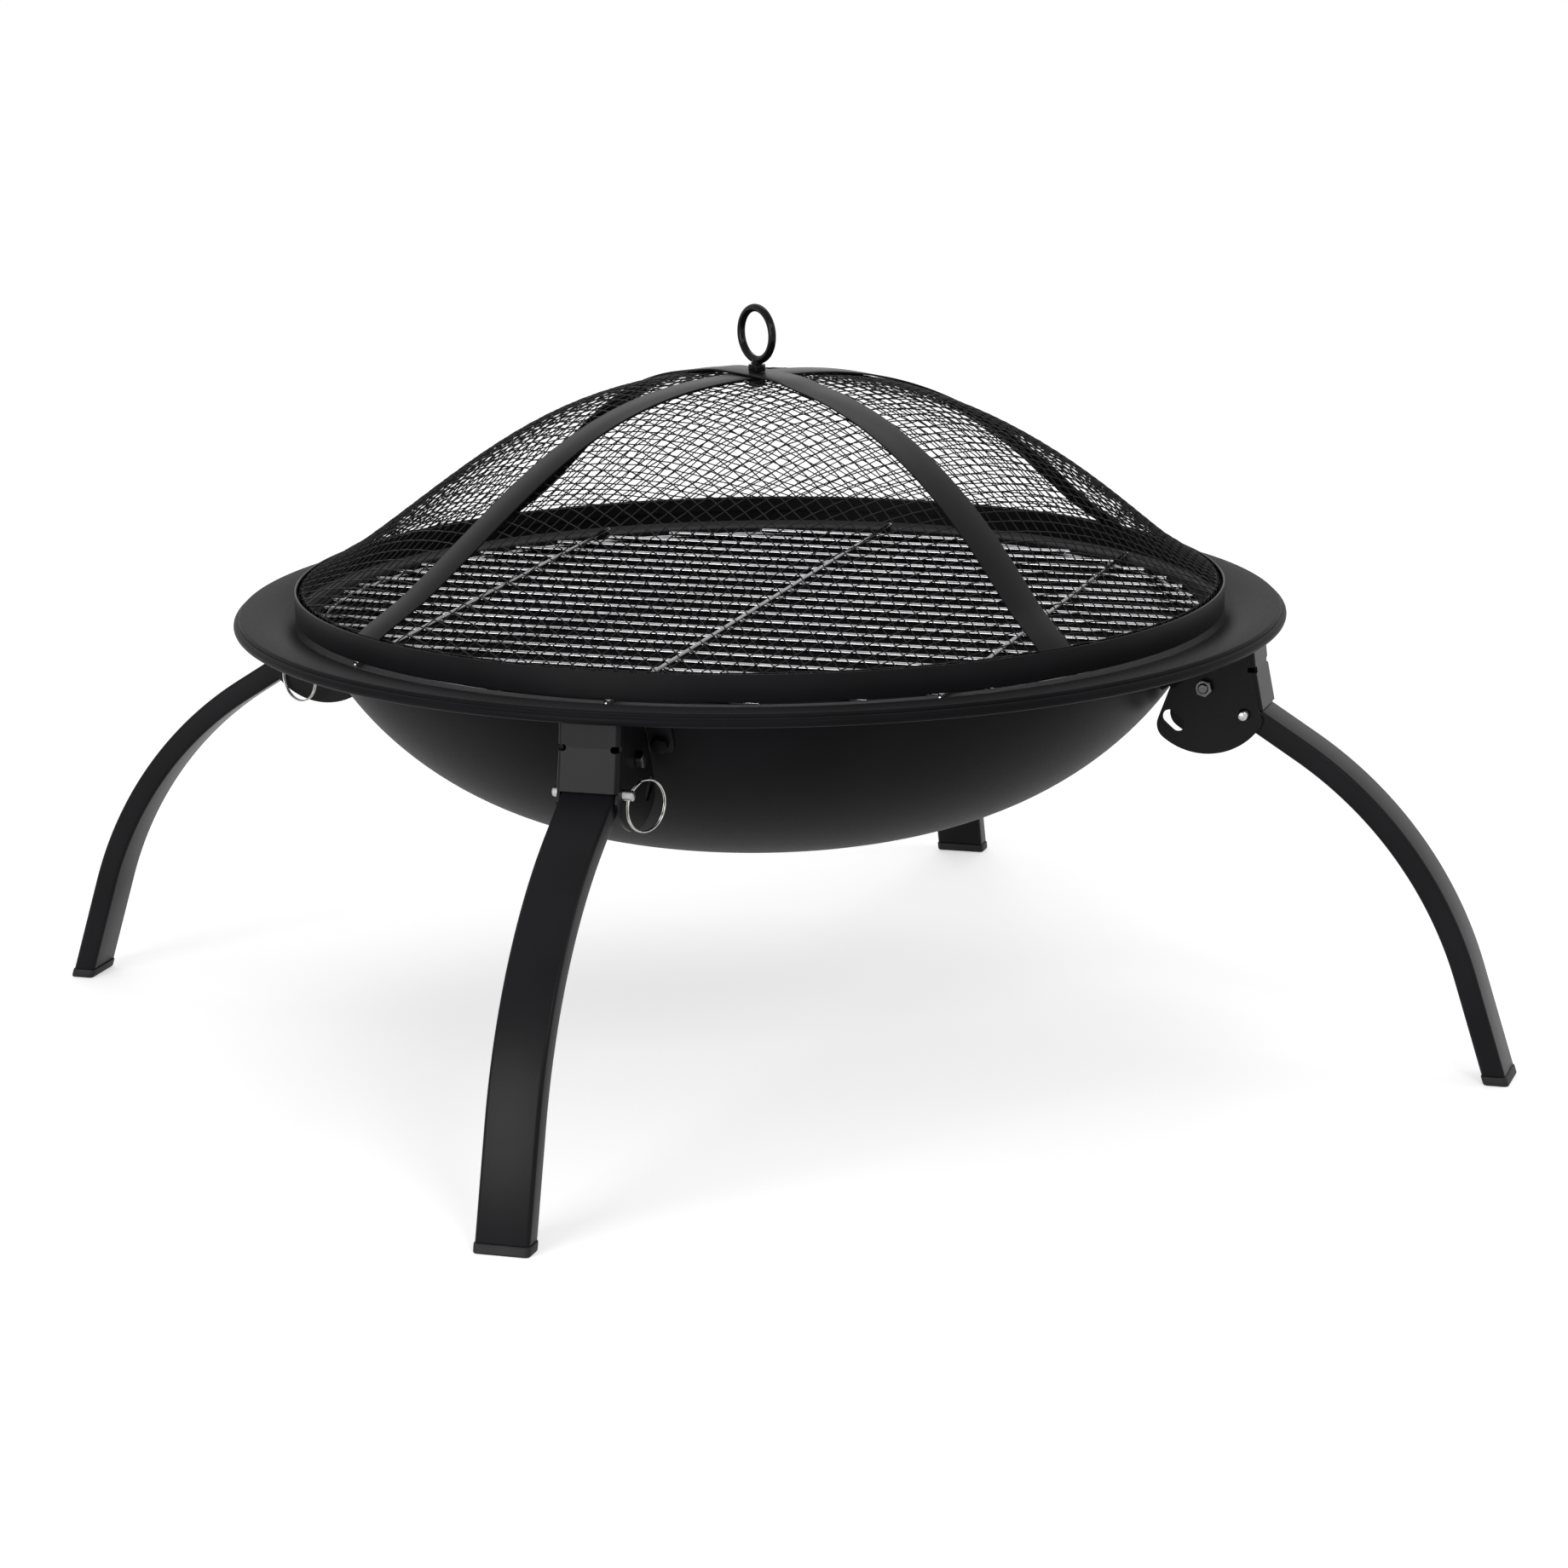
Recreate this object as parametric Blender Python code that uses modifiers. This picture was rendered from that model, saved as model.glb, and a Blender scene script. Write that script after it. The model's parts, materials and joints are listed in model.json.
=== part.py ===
"""Folding-leg fire bowl with a mesh spark screen and a cooking grate.

Metres, +Z up.  The origin is on the ground under the middle of the bowl.
The four legs stand along +X, +Y, -X and -Y.  A radial plane is described
by (r, z): r outwards from the bowl's axis, z upwards.
"""
import math

import bmesh
import bpy
from mathutils import Matrix, Vector

# general
GAP = 0.0003                 # clearance between pieces that touch
TURN_STEPS = 44              # flats round the large turned parts, a multiple of four
FLAT_ANGLE = math.radians(0.05)      # faces this close to one plane are one face
CUT_REACH = 0.0200                   # how far a cutter runs past what it cuts
HOLE_SIDES = 10
SMALL_HOLE_SIDES = 8
LEG_NAMES = ("right", "rear", "left", "front")      # at 0, 90, 180 and 270 degrees

# folding legs: a flat tube, straight, bent and straight again
LEG_WIDTH = 0.0280
LEG_DEPTH = 0.0120
LEG_WALL = 0.0012
LEG_CORNER = 0.0020
LEG_SLOPE = math.radians(32.5)       # the top of the leg points this far below level
LEG_STRAIGHT = 0.060                 # from the pivot to the start of the bend
LEG_BEND_RADIUS = 0.211
LEG_BEND = math.radians(40.5)
LEG_LOWER = 0.0594                   # from the end of the bend to the ground
LEG_BEHIND_PIVOT = 0.0100
BEND_PIECES = 8

# foot caps
CAP_HEIGHT = 0.0050
CAP_PROUD = 0.0006
CAP_PLUG = 0.0100
CAP_ROUND = 0.0012

# pressed bowl: sheet with a superellipse wall, a ledge, a crowned flange and a rolled edge
SHEET = 0.0010
MOUTH_RADIUS = 0.2376
BOWL_DEPTH = 0.1148
BOWL_SQUARENESS = 2.8353             # exponent across
BOWL_FULLNESS = 1.356                # exponent down
WALL_PIECES = 8
MOUTH_ABOVE_PIVOT = 0.0247
LEDGE_RISE = 0.0016
LEDGE_WIDTH = 0.0112
CROWN_WIDTH = 0.0230                 # from the ledge to the top of the crown
CROWN_RISE = 0.0045
FLANGE_WIDTH = 0.0303                # from the ledge to the lip
SHOULDER_RADIUS = 0.0015
LIP_DROP = 0.0004
BEAD_RADIUS = 0.0026

# leg bracket: a U of sheet with a web outside and a cheek on each side of the leg
BRACKET_SHEET = 0.0016
LEG_PLAY = 0.0004                    # between the leg and each cheek
PIVOT_OUT = 0.0106                   # pivot outside the bowl's mouth
BELOW_FLANGE = 0.0012                # top of the bracket under the bowl's flange
WEB_TOP_OUT = 0.0253                 # outer face of the web, from the pivot
WEB_NOTCH_OUT = 0.0268
WEB_NOTCH_UP = 0.0102
WEB_SPLAY = math.radians(10.5)       # slope of the web below the notch
CHEEK_MARGIN = 0.0107                # cheek past the pin and the slot
CHEEK_CORNER = 0.0088                # radius of the cheek's lower corners
CHEEK_CORNER_TURN = math.radians(3.0)    # corners set in from the pin's and slot's directions
NOTCH_DEPTH = 0.0024                 # corner relief between web and cheeks
NOTCH_HEIGHT = 0.0030
TAB_WIDTH = 0.0130
TAB_LOW = 0.0000                     # lower edge of a tab, from the pivot
TAB_HIGH = 0.0187
TAB_BOLT_OUT = 0.0062                # bolt from the cheek's outer face
TAB_BOLT_UP = 0.0062

# fasteners
PIVOT_BOLT_RADIUS = 0.0025
TAB_BOLT_RADIUS = 0.0020
HEX_FLATS = 0.0080
BOLT_HEAD = 0.0034
NUT_HEIGHT = 0.0038
HOLE_CLEARANCE = 0.0004
BOLT_PAST_NUT = 0.0012

# lock pin with its pull ring
PIN_ARM = 0.0250                     # pin and slot from the pivot
PIN_RADIUS = 0.0027
PIN_TAIL = 0.0048                    # past the cheek on the plain side
PIN_HEAD = 0.0060                    # past the cheek on the ring side
PIN_CHAMFER = 0.0008
PIN_CROSS_HOLE = 0.0016              # radius
PIN_CROSS_OUT = 0.0031               # cross hole from the cheek
FOLD = math.radians(99.0)
SLOT_HALF_LENGTH = 0.0030            # between the slot's two end centres, halved
SLOT_RADIUS = 0.0037
PULL_RING_RADIUS = 0.0130            # centre line of the wire
PULL_RING_WIRE = 0.0010              # radius
RING_HEADING = math.radians(25.5)    # of the ring's plane, from radial towards the side
RING_HANG = math.radians(32.7)       # the ring's middle hangs this far below level

# cooking grate: parallel rods, a hoop under them and cross rods over them
ROD_RADIUS = 0.0012
GRATE_PLAY = 0.0036                  # centre line of the hoop inside the bowl's mouth
GRATE_HOOP_ROD = 0.0014
ROD_COUNT = 22
OUTER_ROD_IN = 0.01035               # outermost rods inside the hoop
ROD_OVERHANG = 0.0026                # rod ends past the hoop
CROSS_SPREAD = 0.6624                # cross rods' pitch as a share of the hoop's radius
CROSS_COUNT = 3
CROSS_REACH = 0.0107                 # cross rods' ends past the bowl's mouth
WELD_BITE = 0.0004                   # how far welded rods sink into each other
ROD_SIDES = 6
RING_STEPS = 24

# spark screen: two hoops, the mesh and two crossed straps held between them
BAND_HEIGHT = 0.0141
BAND_SHEET = 0.0010
DOME_RISE = 0.1084                   # from the band's top to the middle of the mesh
DOME_SLOPE = math.radians(36.5)      # flank of the dome
MESH_WIRE = 0.0010                   # thickness
MESH_SKIRT = 0.0070                  # mesh tucked into the band
MESH_ROWS = 6
MESH_EYE = 0.0095                    # mesh cut away round the eye bolt
STRAP_WIDTH = 0.0200
STRAP_SHEET = 0.0010
STRAP_HEADING = math.radians(54.3)
STRAP_TUCK = 0.0060
STRAP_PIECES = 14
STRAP_RAMP = 0.0500                  # the upper strap comes down to the mesh over this length

# lifting eye on top of the screen
EYE_RADIUS = 0.01385                 # centre line
EYE_WIRE = 0.00215
EYE_SIDES = 8
STEM_RADIUS = 0.0020
COLLAR_HEIGHT = 0.0036
COLLAR_FLATS = 0.0090
UNDER_NUT_FLATS = 0.0090
STEM_PAST_NUT = 0.0010

COLOURS = {
    "bowl_black": ((0.022, 0.022, 0.024), 0.42, 0.3),
    "satin_black": ((0.026, 0.026, 0.028), 0.36, 0.3),
    "mesh_black": ((0.018, 0.018, 0.019), 0.5, 0.3),
    "gloss_black": ((0.012, 0.012, 0.013), 0.2, 0.3),
    "chrome": ((0.78, 0.78, 0.80), 0.15, 1.0),
    "zinc": ((0.62, 0.63, 0.64), 0.32, 1.0),
    "nickel": ((0.70, 0.69, 0.66), 0.2, 1.0),
    "black_plastic": ((0.020, 0.020, 0.021), 0.6, 0.0),
}

# derived places
bend_end = LEG_SLOPE + LEG_BEND
pivot_z = (LEG_STRAIGHT * math.sin(LEG_SLOPE)
           + LEG_BEND_RADIUS * (math.cos(LEG_SLOPE) - math.cos(bend_end))
           + LEG_LOWER * math.sin(bend_end))
pivot_r = MOUTH_RADIUS + PIVOT_OUT
mouth_z = pivot_z + MOUTH_ABOVE_PIVOT
ledge_z = mouth_z + LEDGE_RISE
ledge_r = MOUTH_RADIUS + LEDGE_WIDTH
cheek_in = LEG_WIDTH / 2 + LEG_PLAY
cheek_out = cheek_in + BRACKET_SHEET
cheek_mid = cheek_in + BRACKET_SHEET / 2
bracket_top = ledge_z - SHEET - BELOW_FLANGE
half_flat = math.pi / TURN_STEPS     # half the angle of one flat of the turned parts
pin_r = pivot_r + PIN_ARM * math.cos(LEG_SLOPE)
pin_z = pivot_z - PIN_ARM * math.sin(LEG_SLOPE)
slot_r = pivot_r + PIN_ARM * math.cos(LEG_SLOPE + FOLD)
slot_z = pivot_z - PIN_ARM * math.sin(LEG_SLOPE + FOLD)
grate_r = MOUTH_RADIUS - GRATE_PLAY
rod_pitch = 2 * (grate_r - OUTER_ROD_IN) / (ROD_COUNT - 1)
cross_pitch = CROSS_SPREAD * grate_r
cross_z = ledge_z + GAP + ROD_RADIUS
rod_z = cross_z - 2 * ROD_RADIUS + WELD_BITE
hoop_z = rod_z - ROD_RADIUS - GRATE_HOOP_ROD + WELD_BITE
band_low = cross_z + ROD_RADIUS + GAP
band_top = band_low + BAND_HEIGHT
band_r = ledge_r
strap_r = band_r - BAND_SHEET - GAP - STRAP_SHEET / 2
mesh_round = TURN_STEPS // 2         # diamonds round the dome
mesh_r = strap_r - STRAP_SHEET / 2 - GAP - MESH_WIRE / 2
inner_hoop_r = mesh_r - MESH_WIRE / 2 - GAP


# helpers
def collection(name):
    new = bpy.data.collections.new(name)
    bpy.context.scene.collection.children.link(new)
    return new


def clear_scene():
    for old in list(bpy.data.objects):
        bpy.data.objects.remove(old, do_unlink=True)


def make_material(name):
    colour, roughness, metallic = COLOURS[name]
    mat = bpy.data.materials.new(name)
    mat.use_nodes = True
    shader = mat.node_tree.nodes["Principled BSDF"]
    shader.inputs["Base Color"].default_value = (*colour, 1.0)
    shader.inputs["Roughness"].default_value = roughness
    shader.inputs["Metallic"].default_value = metallic
    return mat


def add_object(name, data, group=None):
    obj = bpy.data.objects.new(name, data)
    (group or parts).objects.link(obj)
    return obj


def dress(obj, slot, smooth_angle=35.0):
    """Give a part its material and shade its round faces smooth."""
    obj.data.materials.clear()
    obj.data.materials.append(materials[slot])
    obj.data.shade_smooth()
    obj.data.set_sharp_from_angle(angle=math.radians(smooth_angle))
    return obj


def evaluated_mesh(obj):
    """The object's shape after its modifiers, in world space, with a curve's caps welded."""
    bpy.context.view_layer.update()
    graph = bpy.context.evaluated_depsgraph_get()
    mesh = bpy.data.meshes.new_from_object(obj.evaluated_get(graph))
    mesh.transform(obj.matrix_world)
    bm = bmesh.new()
    bm.from_mesh(mesh)
    if obj.type == "CURVE":
        bmesh.ops.remove_doubles(bm, verts=bm.verts, dist=0.00001)
    bmesh.ops.recalc_face_normals(bm, faces=bm.faces)
    bmesh.ops.dissolve_limit(bm, angle_limit=FLAT_ANGLE, verts=bm.verts, edges=bm.edges)
    bm.to_mesh(mesh)
    bm.free()
    return mesh


def set_mesh(obj):
    """Replace a curve or a modified object by a plain mesh object of the same name."""
    name = obj.name
    mesh = evaluated_mesh(obj)
    group = obj.users_collection[0]
    bpy.data.objects.remove(obj, do_unlink=True)
    mesh.name = name
    return add_object(name, mesh, group)


def boolean(obj, others, operation="DIFFERENCE"):
    """Cut or join with other objects, then keep the result as a plain mesh."""
    for other in others:
        mod = obj.modifiers.new(operation.title(), "BOOLEAN")
        mod.operation = operation
        mod.solver = "EXACT"
        mod.object = other
    result = set_mesh(obj)
    for other in others:
        bpy.data.objects.remove(other, do_unlink=True)
    return result


def turned(name, profile, steps=TURN_STEPS, closed=False, group=None):
    """Turn a profile of (r, z) points round +Z."""
    mesh = bpy.data.meshes.new(name)
    count = len(profile)
    edges = [(i, i + 1) for i in range(count - 1)]
    if closed:
        edges.append((count - 1, 0))
    mesh.from_pydata([(r, 0.0, z) for r, z in profile], edges, [])
    obj = add_object(name, mesh, group)
    screw = obj.modifiers.new("Turn", "SCREW")
    screw.axis = "Z"
    screw.angle = math.tau
    screw.steps = steps
    screw.render_steps = steps
    screw.use_merge_vertices = True
    screw.merge_threshold = 0.00001
    return obj


def plate(name, outline, half_width, round_edge=0.0, side=0.0, group=None):
    """A flat outline of (r, z) points in the plane of +X, spread half_width to each side."""
    curve = bpy.data.curves.new(name, "CURVE")
    curve.dimensions = "2D"
    curve.fill_mode = "BOTH"
    curve.extrude = half_width - round_edge
    curve.bevel_depth = round_edge
    curve.bevel_resolution = 0
    curve.offset = -round_edge
    spline = curve.splines.new("POLY")
    spline.points.add(len(outline) - 1)
    for point, (r, z) in zip(spline.points, outline):
        point.co = (r, z, 0.0, 1.0)
    spline.use_cyclic_u = True
    obj = add_object(name, curve, group or guides)
    obj.rotation_euler = (math.pi / 2, 0.0, 0.0)
    obj.location = (0.0, side, 0.0)
    return set_mesh(obj)


def rod(name, start, end, radius, sides=10, group=None):
    """A round bar between two points."""
    start, end = Vector(start), Vector(end)
    along = end - start
    bm = bmesh.new()
    bmesh.ops.create_cone(bm, cap_ends=True, segments=sides, radius1=radius,
                          radius2=radius, depth=along.length)
    turn = along.to_track_quat("Z", "Y").to_matrix().to_4x4()
    bm.transform(Matrix.Translation((start + end) / 2) @ turn)
    mesh = bpy.data.meshes.new(name)
    bm.to_mesh(mesh)
    bm.free()
    return add_object(name, mesh, group or guides)


def hexagon(name, start, end, flats, group=None):
    """A six-sided bar, measured across its flats."""
    return rod(name, start, end, flats / math.sqrt(3.0), 6, group)


def torus(name, centre, axis, major, minor, around, sides, group=None):
    """A ring whose plane is square to axis."""
    bpy.ops.mesh.primitive_torus_add(major_radius=major, minor_radius=minor,
                                     major_segments=around, minor_segments=sides)
    obj = bpy.context.object
    obj.name = name
    for old in list(obj.users_collection):
        old.objects.unlink(obj)
    (group or guides).objects.link(obj)
    turn = Vector(axis).to_track_quat("Z", "Y").to_matrix().to_4x4()
    obj.data.transform(Matrix.Translation(Vector(centre)) @ turn)
    return obj


def block(name, low, high):
    """An upright box between two corners."""
    low, high = Vector(low), Vector(high)
    bm = bmesh.new()
    bmesh.ops.create_cube(bm, size=1.0)
    bm.transform(Matrix.Translation((low + high) / 2) @ Matrix.Diagonal((*(high - low), 1.0)))
    mesh = bpy.data.meshes.new(name)
    bm.to_mesh(mesh)
    bm.free()
    return add_object(name, mesh, guides)


def arc(centre, radius, start, end, pieces):
    """Points of an arc in a radial plane, angles from +r towards +z."""
    r0, z0 = centre
    step = (end - start) / pieces
    return [(r0 + radius * math.cos(start + i * step), z0 + radius * math.sin(start + i * step))
            for i in range(pieces + 1)]


def spread(proto, stem, slot, origin=(0.0, 0.0, 0.0)):
    """Four copies of a piece of the +X leg, one for each leg, with their origin at origin."""
    mesh = evaluated_mesh(proto)
    bpy.data.objects.remove(proto, do_unlink=True)
    mesh.transform(Matrix.Translation(-Vector(origin)))
    mesh.name = stem
    for i, leg in enumerate(LEG_NAMES):
        turn = Matrix.Rotation(i * math.pi / 2, 4, "Z")
        obj = add_object(f"{stem}_{leg}", mesh)
        obj.matrix_world = turn @ Matrix.Translation(Vector(origin))
    dress(obj, slot)


def wall_points():
    """Inside of the bowl's wall, from the middle of the floor up to the mouth."""
    points = []
    for i in range(WALL_PIECES + 1):
        r = MOUTH_RADIUS * math.sin(0.5 * math.pi * i / WALL_PIECES)
        fill = (1.0 - (r / MOUTH_RADIUS) ** BOWL_SQUARENESS) ** (1.0 / BOWL_FULLNESS)
        points.append((r, mouth_z - BOWL_DEPTH * fill))
    return points


def flat_wall():
    """The wall down the middle of one flat, a little nearer the axis than its corners."""
    return [(r * math.cos(half_flat), z) for r, z in wall_points()]


def between(path, low, high):
    """The part of a rising path between two heights."""
    cut = []
    for (r0, z0), (r1, z1) in zip(path, path[1:]):
        for z in (low, high):
            if z0 < z < z1:
                cut.append((r0 + (r1 - r0) * (z - z0) / (z1 - z0), z))
        if low < z1 < high:
            cut.append((r1, z1))
    return sorted(cut, key=lambda point: point[1])


def beside_flat(side, out, across, up):
    """From the axes of the flat beside the +X leg's plane to the part's own axes."""
    cos, sin = math.cos(half_flat), math.sin(half_flat)
    return Vector((out * cos - across * sin, side * (out * sin + across * cos), up))


# bowl
def bowl_profile():
    """Inside of the bowl, top of the flange and outside of the rolled edge."""
    points = wall_points()
    points += arc((MOUTH_RADIUS + LEDGE_RISE, mouth_z), LEDGE_RISE, math.pi, math.pi / 2, 1)[1:]
    points.append((ledge_r, ledge_z))
    crown_radius = (CROWN_WIDTH ** 2 + CROWN_RISE ** 2) / (2 * CROWN_RISE)
    crown_r = ledge_r + CROWN_WIDTH
    lip_r = ledge_r + FLANGE_WIDTH
    centre = (crown_r, ledge_z + CROWN_RISE - crown_radius)
    rise = math.asin(CROWN_WIDTH / crown_radius)
    fall = math.asin((lip_r - SHOULDER_RADIUS - crown_r) / crown_radius)
    points += arc(centre, crown_radius, math.pi / 2 + rise, math.pi / 2 - fall, 3)[1:]
    edge_r, edge_z = points[-1]
    shoulder = arc((edge_r, edge_z - SHOULDER_RADIUS), SHOULDER_RADIUS, math.pi / 2, 0.0, 1)
    points += shoulder[1:]
    lip_z = points[-1][1] - LIP_DROP
    bead = (lip_r, lip_z - BEAD_RADIUS)
    points += arc(bead, BEAD_RADIUS, math.pi / 2, math.radians(-190), 4)
    return points


def make_bowl():
    bowl = turned("fire_bowl", bowl_profile())
    shell = bowl.modifiers.new("Sheet", "SOLIDIFY")
    shell.thickness = SHEET
    shell.offset = -1.0
    shell.use_even_offset = True
    bowl = set_mesh(bowl)
    drills = []
    for i in range(4):
        for side in (-1, 1):
            start, end = tab_bolt_line(side, -CUT_REACH, CUT_REACH)
            drill = rod("drill", start, end, TAB_BOLT_RADIUS + HOLE_CLEARANCE, SMALL_HOLE_SIDES)
            drill.data.transform(Matrix.Rotation(i * math.pi / 2, 4, "Z"))
            drills.append(drill)
    bowl = boolean(bowl, drills)
    dress(bowl, "bowl_black")


def tab_bolt_line(side, start, end):
    """Two points of a tab bolt's axis, given by their distances out from the bowl's wall."""
    z = pivot_z + TAB_BOLT_UP
    wall = flat_wall()
    low, high = next((a, b) for a, b in zip(wall, wall[1:]) if a[1] <= z < b[1])
    lean = math.atan2(high[0] - low[0], high[1] - low[1])
    r = low[0] + (z - low[1]) * math.tan(lean)
    across = (cheek_out + TAB_BOLT_OUT - r * math.sin(half_flat)) / math.cos(half_flat)
    foot = beside_flat(side, r, across, z)
    normal = beside_flat(side, math.cos(lean), 0.0, -math.sin(lean))
    return foot + normal * (SHEET + start), foot + normal * (SHEET + end)


# legs
def leg_path():
    """Centre line of the +X leg, from behind the pivot to below the ground."""
    points = [(-LEG_BEHIND_PIVOT, 0.0), (LEG_STRAIGHT, 0.0)]
    points += arc((LEG_STRAIGHT, -LEG_BEND_RADIUS), LEG_BEND_RADIUS, math.pi / 2,
                  math.pi / 2 - LEG_BEND, BEND_PIECES)[1:]
    last_r, last_z = points[-1]
    past = LEG_LOWER + 2 * LEG_DEPTH
    points.append((last_r + past * math.cos(LEG_BEND), last_z - past * math.sin(LEG_BEND)))
    return [to_leg(along, up) for along, up in points]


def to_leg(along, up):
    """From the leg's own axes at the pivot to the radial plane."""
    cos, sin = math.cos(LEG_SLOPE), math.sin(LEG_SLOPE)
    return pivot_r + along * cos + up * sin, pivot_z - along * sin + up * cos


def beside(path, distance):
    """The path moved sideways, to its upper and outer side."""
    moved = []
    for i, point in enumerate(path):
        before = Vector(path[max(i - 1, 0)])
        after = Vector(path[min(i + 1, len(path) - 1)])
        if 0 < i < len(path) - 1:
            one = (Vector(point) - before).normalized()
            two = (after - Vector(point)).normalized()
            along = (one + two).normalized()
            stretch = 1.0 / max(0.5, along.dot(one))
        else:
            along = (after - before).normalized()
            stretch = 1.0
        side = Vector((-along.y, along.x)) * distance * stretch
        moved.append((point[0] + side.x, point[1] + side.y))
    return moved


def leg_band(distance, name, half_width, round_edge=0.0):
    """A bent bar that follows the leg, distance to each side of its centre line."""
    path = leg_path()
    outline = beside(path, distance) + list(reversed(beside(path, -distance)))
    return plate(name, outline, half_width, round_edge)


def make_legs():
    half = LEG_DEPTH / 2
    reach = LEG_BEHIND_PIVOT + LEG_DEPTH
    leg = leg_band(half, "leg_tube", LEG_WIDTH / 2, LEG_CORNER)
    hollow = leg_band(half - LEG_WALL, "hollow", LEG_WIDTH / 2 - LEG_WALL)
    foot_r = leg_path()[-1][0]
    ground = block("ground", (pivot_r, -LEG_WIDTH, -pivot_z),
                   (foot_r + CUT_REACH, LEG_WIDTH, CAP_HEIGHT + GAP))
    end = plate("end", [to_leg(-reach, -reach), to_leg(-LEG_BEHIND_PIVOT + LEG_CORNER, -reach),
                        to_leg(-LEG_BEHIND_PIVOT + LEG_CORNER, reach), to_leg(-reach, reach)],
                LEG_WIDTH)
    pivot_hole = rod("pivot_hole", (pivot_r, -LEG_WIDTH, pivot_z), (pivot_r, LEG_WIDTH, pivot_z),
                     PIVOT_BOLT_RADIUS + HOLE_CLEARANCE, HOLE_SIDES)
    leg = boolean(leg, [ground, end])
    leg = boolean(leg, [hollow])
    leg = boolean(leg, [pivot_hole, pin_way_cutter()])
    spread(leg, "leg_tube", "satin_black", (pivot_r, 0.0, pivot_z))


def pin_way_cutter():
    """The pin's hole in the leg, open to the leg's upper face along the pin's arc."""
    clear = PIN_RADIUS + HOLE_CLEARANCE
    sweep = math.asin(min(1.0, (LEG_DEPTH / 2 + 2 * clear) / PIN_ARM))
    path = arc((0.0, 0.0), PIN_ARM + clear, 0.0, sweep, 3)
    path += arc((0.0, 0.0), PIN_ARM - clear, sweep, 0.0, 3)
    path += arc((PIN_ARM, 0.0), clear, math.pi, math.tau, HOLE_SIDES // 2)[1:-1]
    return plate("pin_way", [to_leg(along, up) for along, up in path], LEG_WIDTH)


def make_foot_caps():
    half = LEG_DEPTH / 2
    foot_r = leg_path()[-1][0] + CUT_REACH
    cap = leg_band(half + CAP_PROUD, "foot_cap", LEG_WIDTH / 2 + CAP_PROUD, CAP_ROUND)
    keep = block("keep", (pivot_r, -LEG_WIDTH, 0.0), (foot_r, LEG_WIDTH, CAP_HEIGHT))
    cap = boolean(cap, [keep], "INTERSECT")
    inside = half - LEG_WALL - GAP
    plug = leg_band(inside, "plug", LEG_WIDTH / 2 - LEG_WALL - GAP)
    keep = block("keep", (pivot_r, -LEG_WIDTH, CAP_HEIGHT / 2),
                 (foot_r, LEG_WIDTH, CAP_HEIGHT + CAP_PLUG))
    plug = boolean(plug, [keep], "INTERSECT")
    cap = boolean(cap, [plug], "UNION")
    spread(cap, "foot_cap", "black_plastic", (pivot_r, 0.0, pivot_z))


# brackets
def web_points():
    """Outer face of the web, top to bottom."""
    notch = (pivot_r + WEB_NOTCH_OUT, pivot_z + WEB_NOTCH_UP)
    leg_face = to_leg(0.0, LEG_DEPTH / 2 + GAP)
    # the web ends where its inner face meets the leg's upper face
    slope = math.tan(LEG_SLOPE)
    splay = math.tan(WEB_SPLAY)
    inner_r = notch[0] - BRACKET_SHEET / math.cos(WEB_SPLAY)
    drop = (notch[1] - leg_face[1] + slope * (inner_r - leg_face[0])) / (1.0 - slope * splay)
    low = (notch[0] + drop * splay, notch[1] - drop)
    return [(pivot_r + WEB_TOP_OUT, bracket_top), notch, low]


def cheek_outline():
    """Side view of the bracket: web, round corners under pin and slot, and the bowl's wall."""
    pivot = (pivot_r, pivot_z)
    radius = PIN_ARM + CHEEK_MARGIN
    pin_way = -LEG_SLOPE - CHEEK_CORNER_TURN
    slot_way = -LEG_SLOPE - FOLD + CHEEK_CORNER_TURN
    pin_corner = arc(pivot, radius - CHEEK_CORNER, pin_way, pin_way, 1)[0]
    slot_corner = arc(pivot, radius - CHEEK_CORNER, slot_way, slot_way, 1)[0]
    edge = tab_line(SHEET + GAP + BRACKET_SHEET / 2)
    lean = math.tan(half_flat)
    edge = [(r / math.cos(half_flat) - cheek_mid * lean, z) for r, z in edge]
    reach = Vector(edge[0]) - Vector(slot_corner)
    leave = math.atan2(reach.y, reach.x) + math.acos(min(1.0, CHEEK_CORNER / reach.length))
    outline = web_points()
    outline += arc(pin_corner, CHEEK_CORNER, 0.0, pin_way, 3)
    outline += arc(pivot, radius, pin_way, slot_way, 8)[1:]
    outline += arc(slot_corner, CHEEK_CORNER, slot_way, leave - math.tau, 4)[1:]
    outline += edge
    outline.append((edge[-1][0] + bracket_top - edge[-1][1], bracket_top))
    return outline


def tab_line(distance):
    """A line at this distance outside the bowl's wall, over the height of the tabs."""
    path = beside(flat_wall(), -distance)
    return between(path, pivot_z + TAB_LOW, pivot_z + TAB_HIGH)


def make_tab(side):
    """A tab bent out from a cheek and formed to the bowl's wall."""
    inner, outer = tab_line(SHEET + GAP), tab_line(SHEET + GAP + BRACKET_SHEET)
    offset = inner[0][0] * math.sin(half_flat)
    start, end = cheek_mid - offset, cheek_out + TAB_WIDTH - offset
    tab = plate("tab", inner + list(reversed(outer)), (end - start) / 2,
                side=side * (start + end) / 2)
    tab.data.transform(Matrix.Rotation(side * half_flat, 4, "Z"))
    return tab


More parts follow.
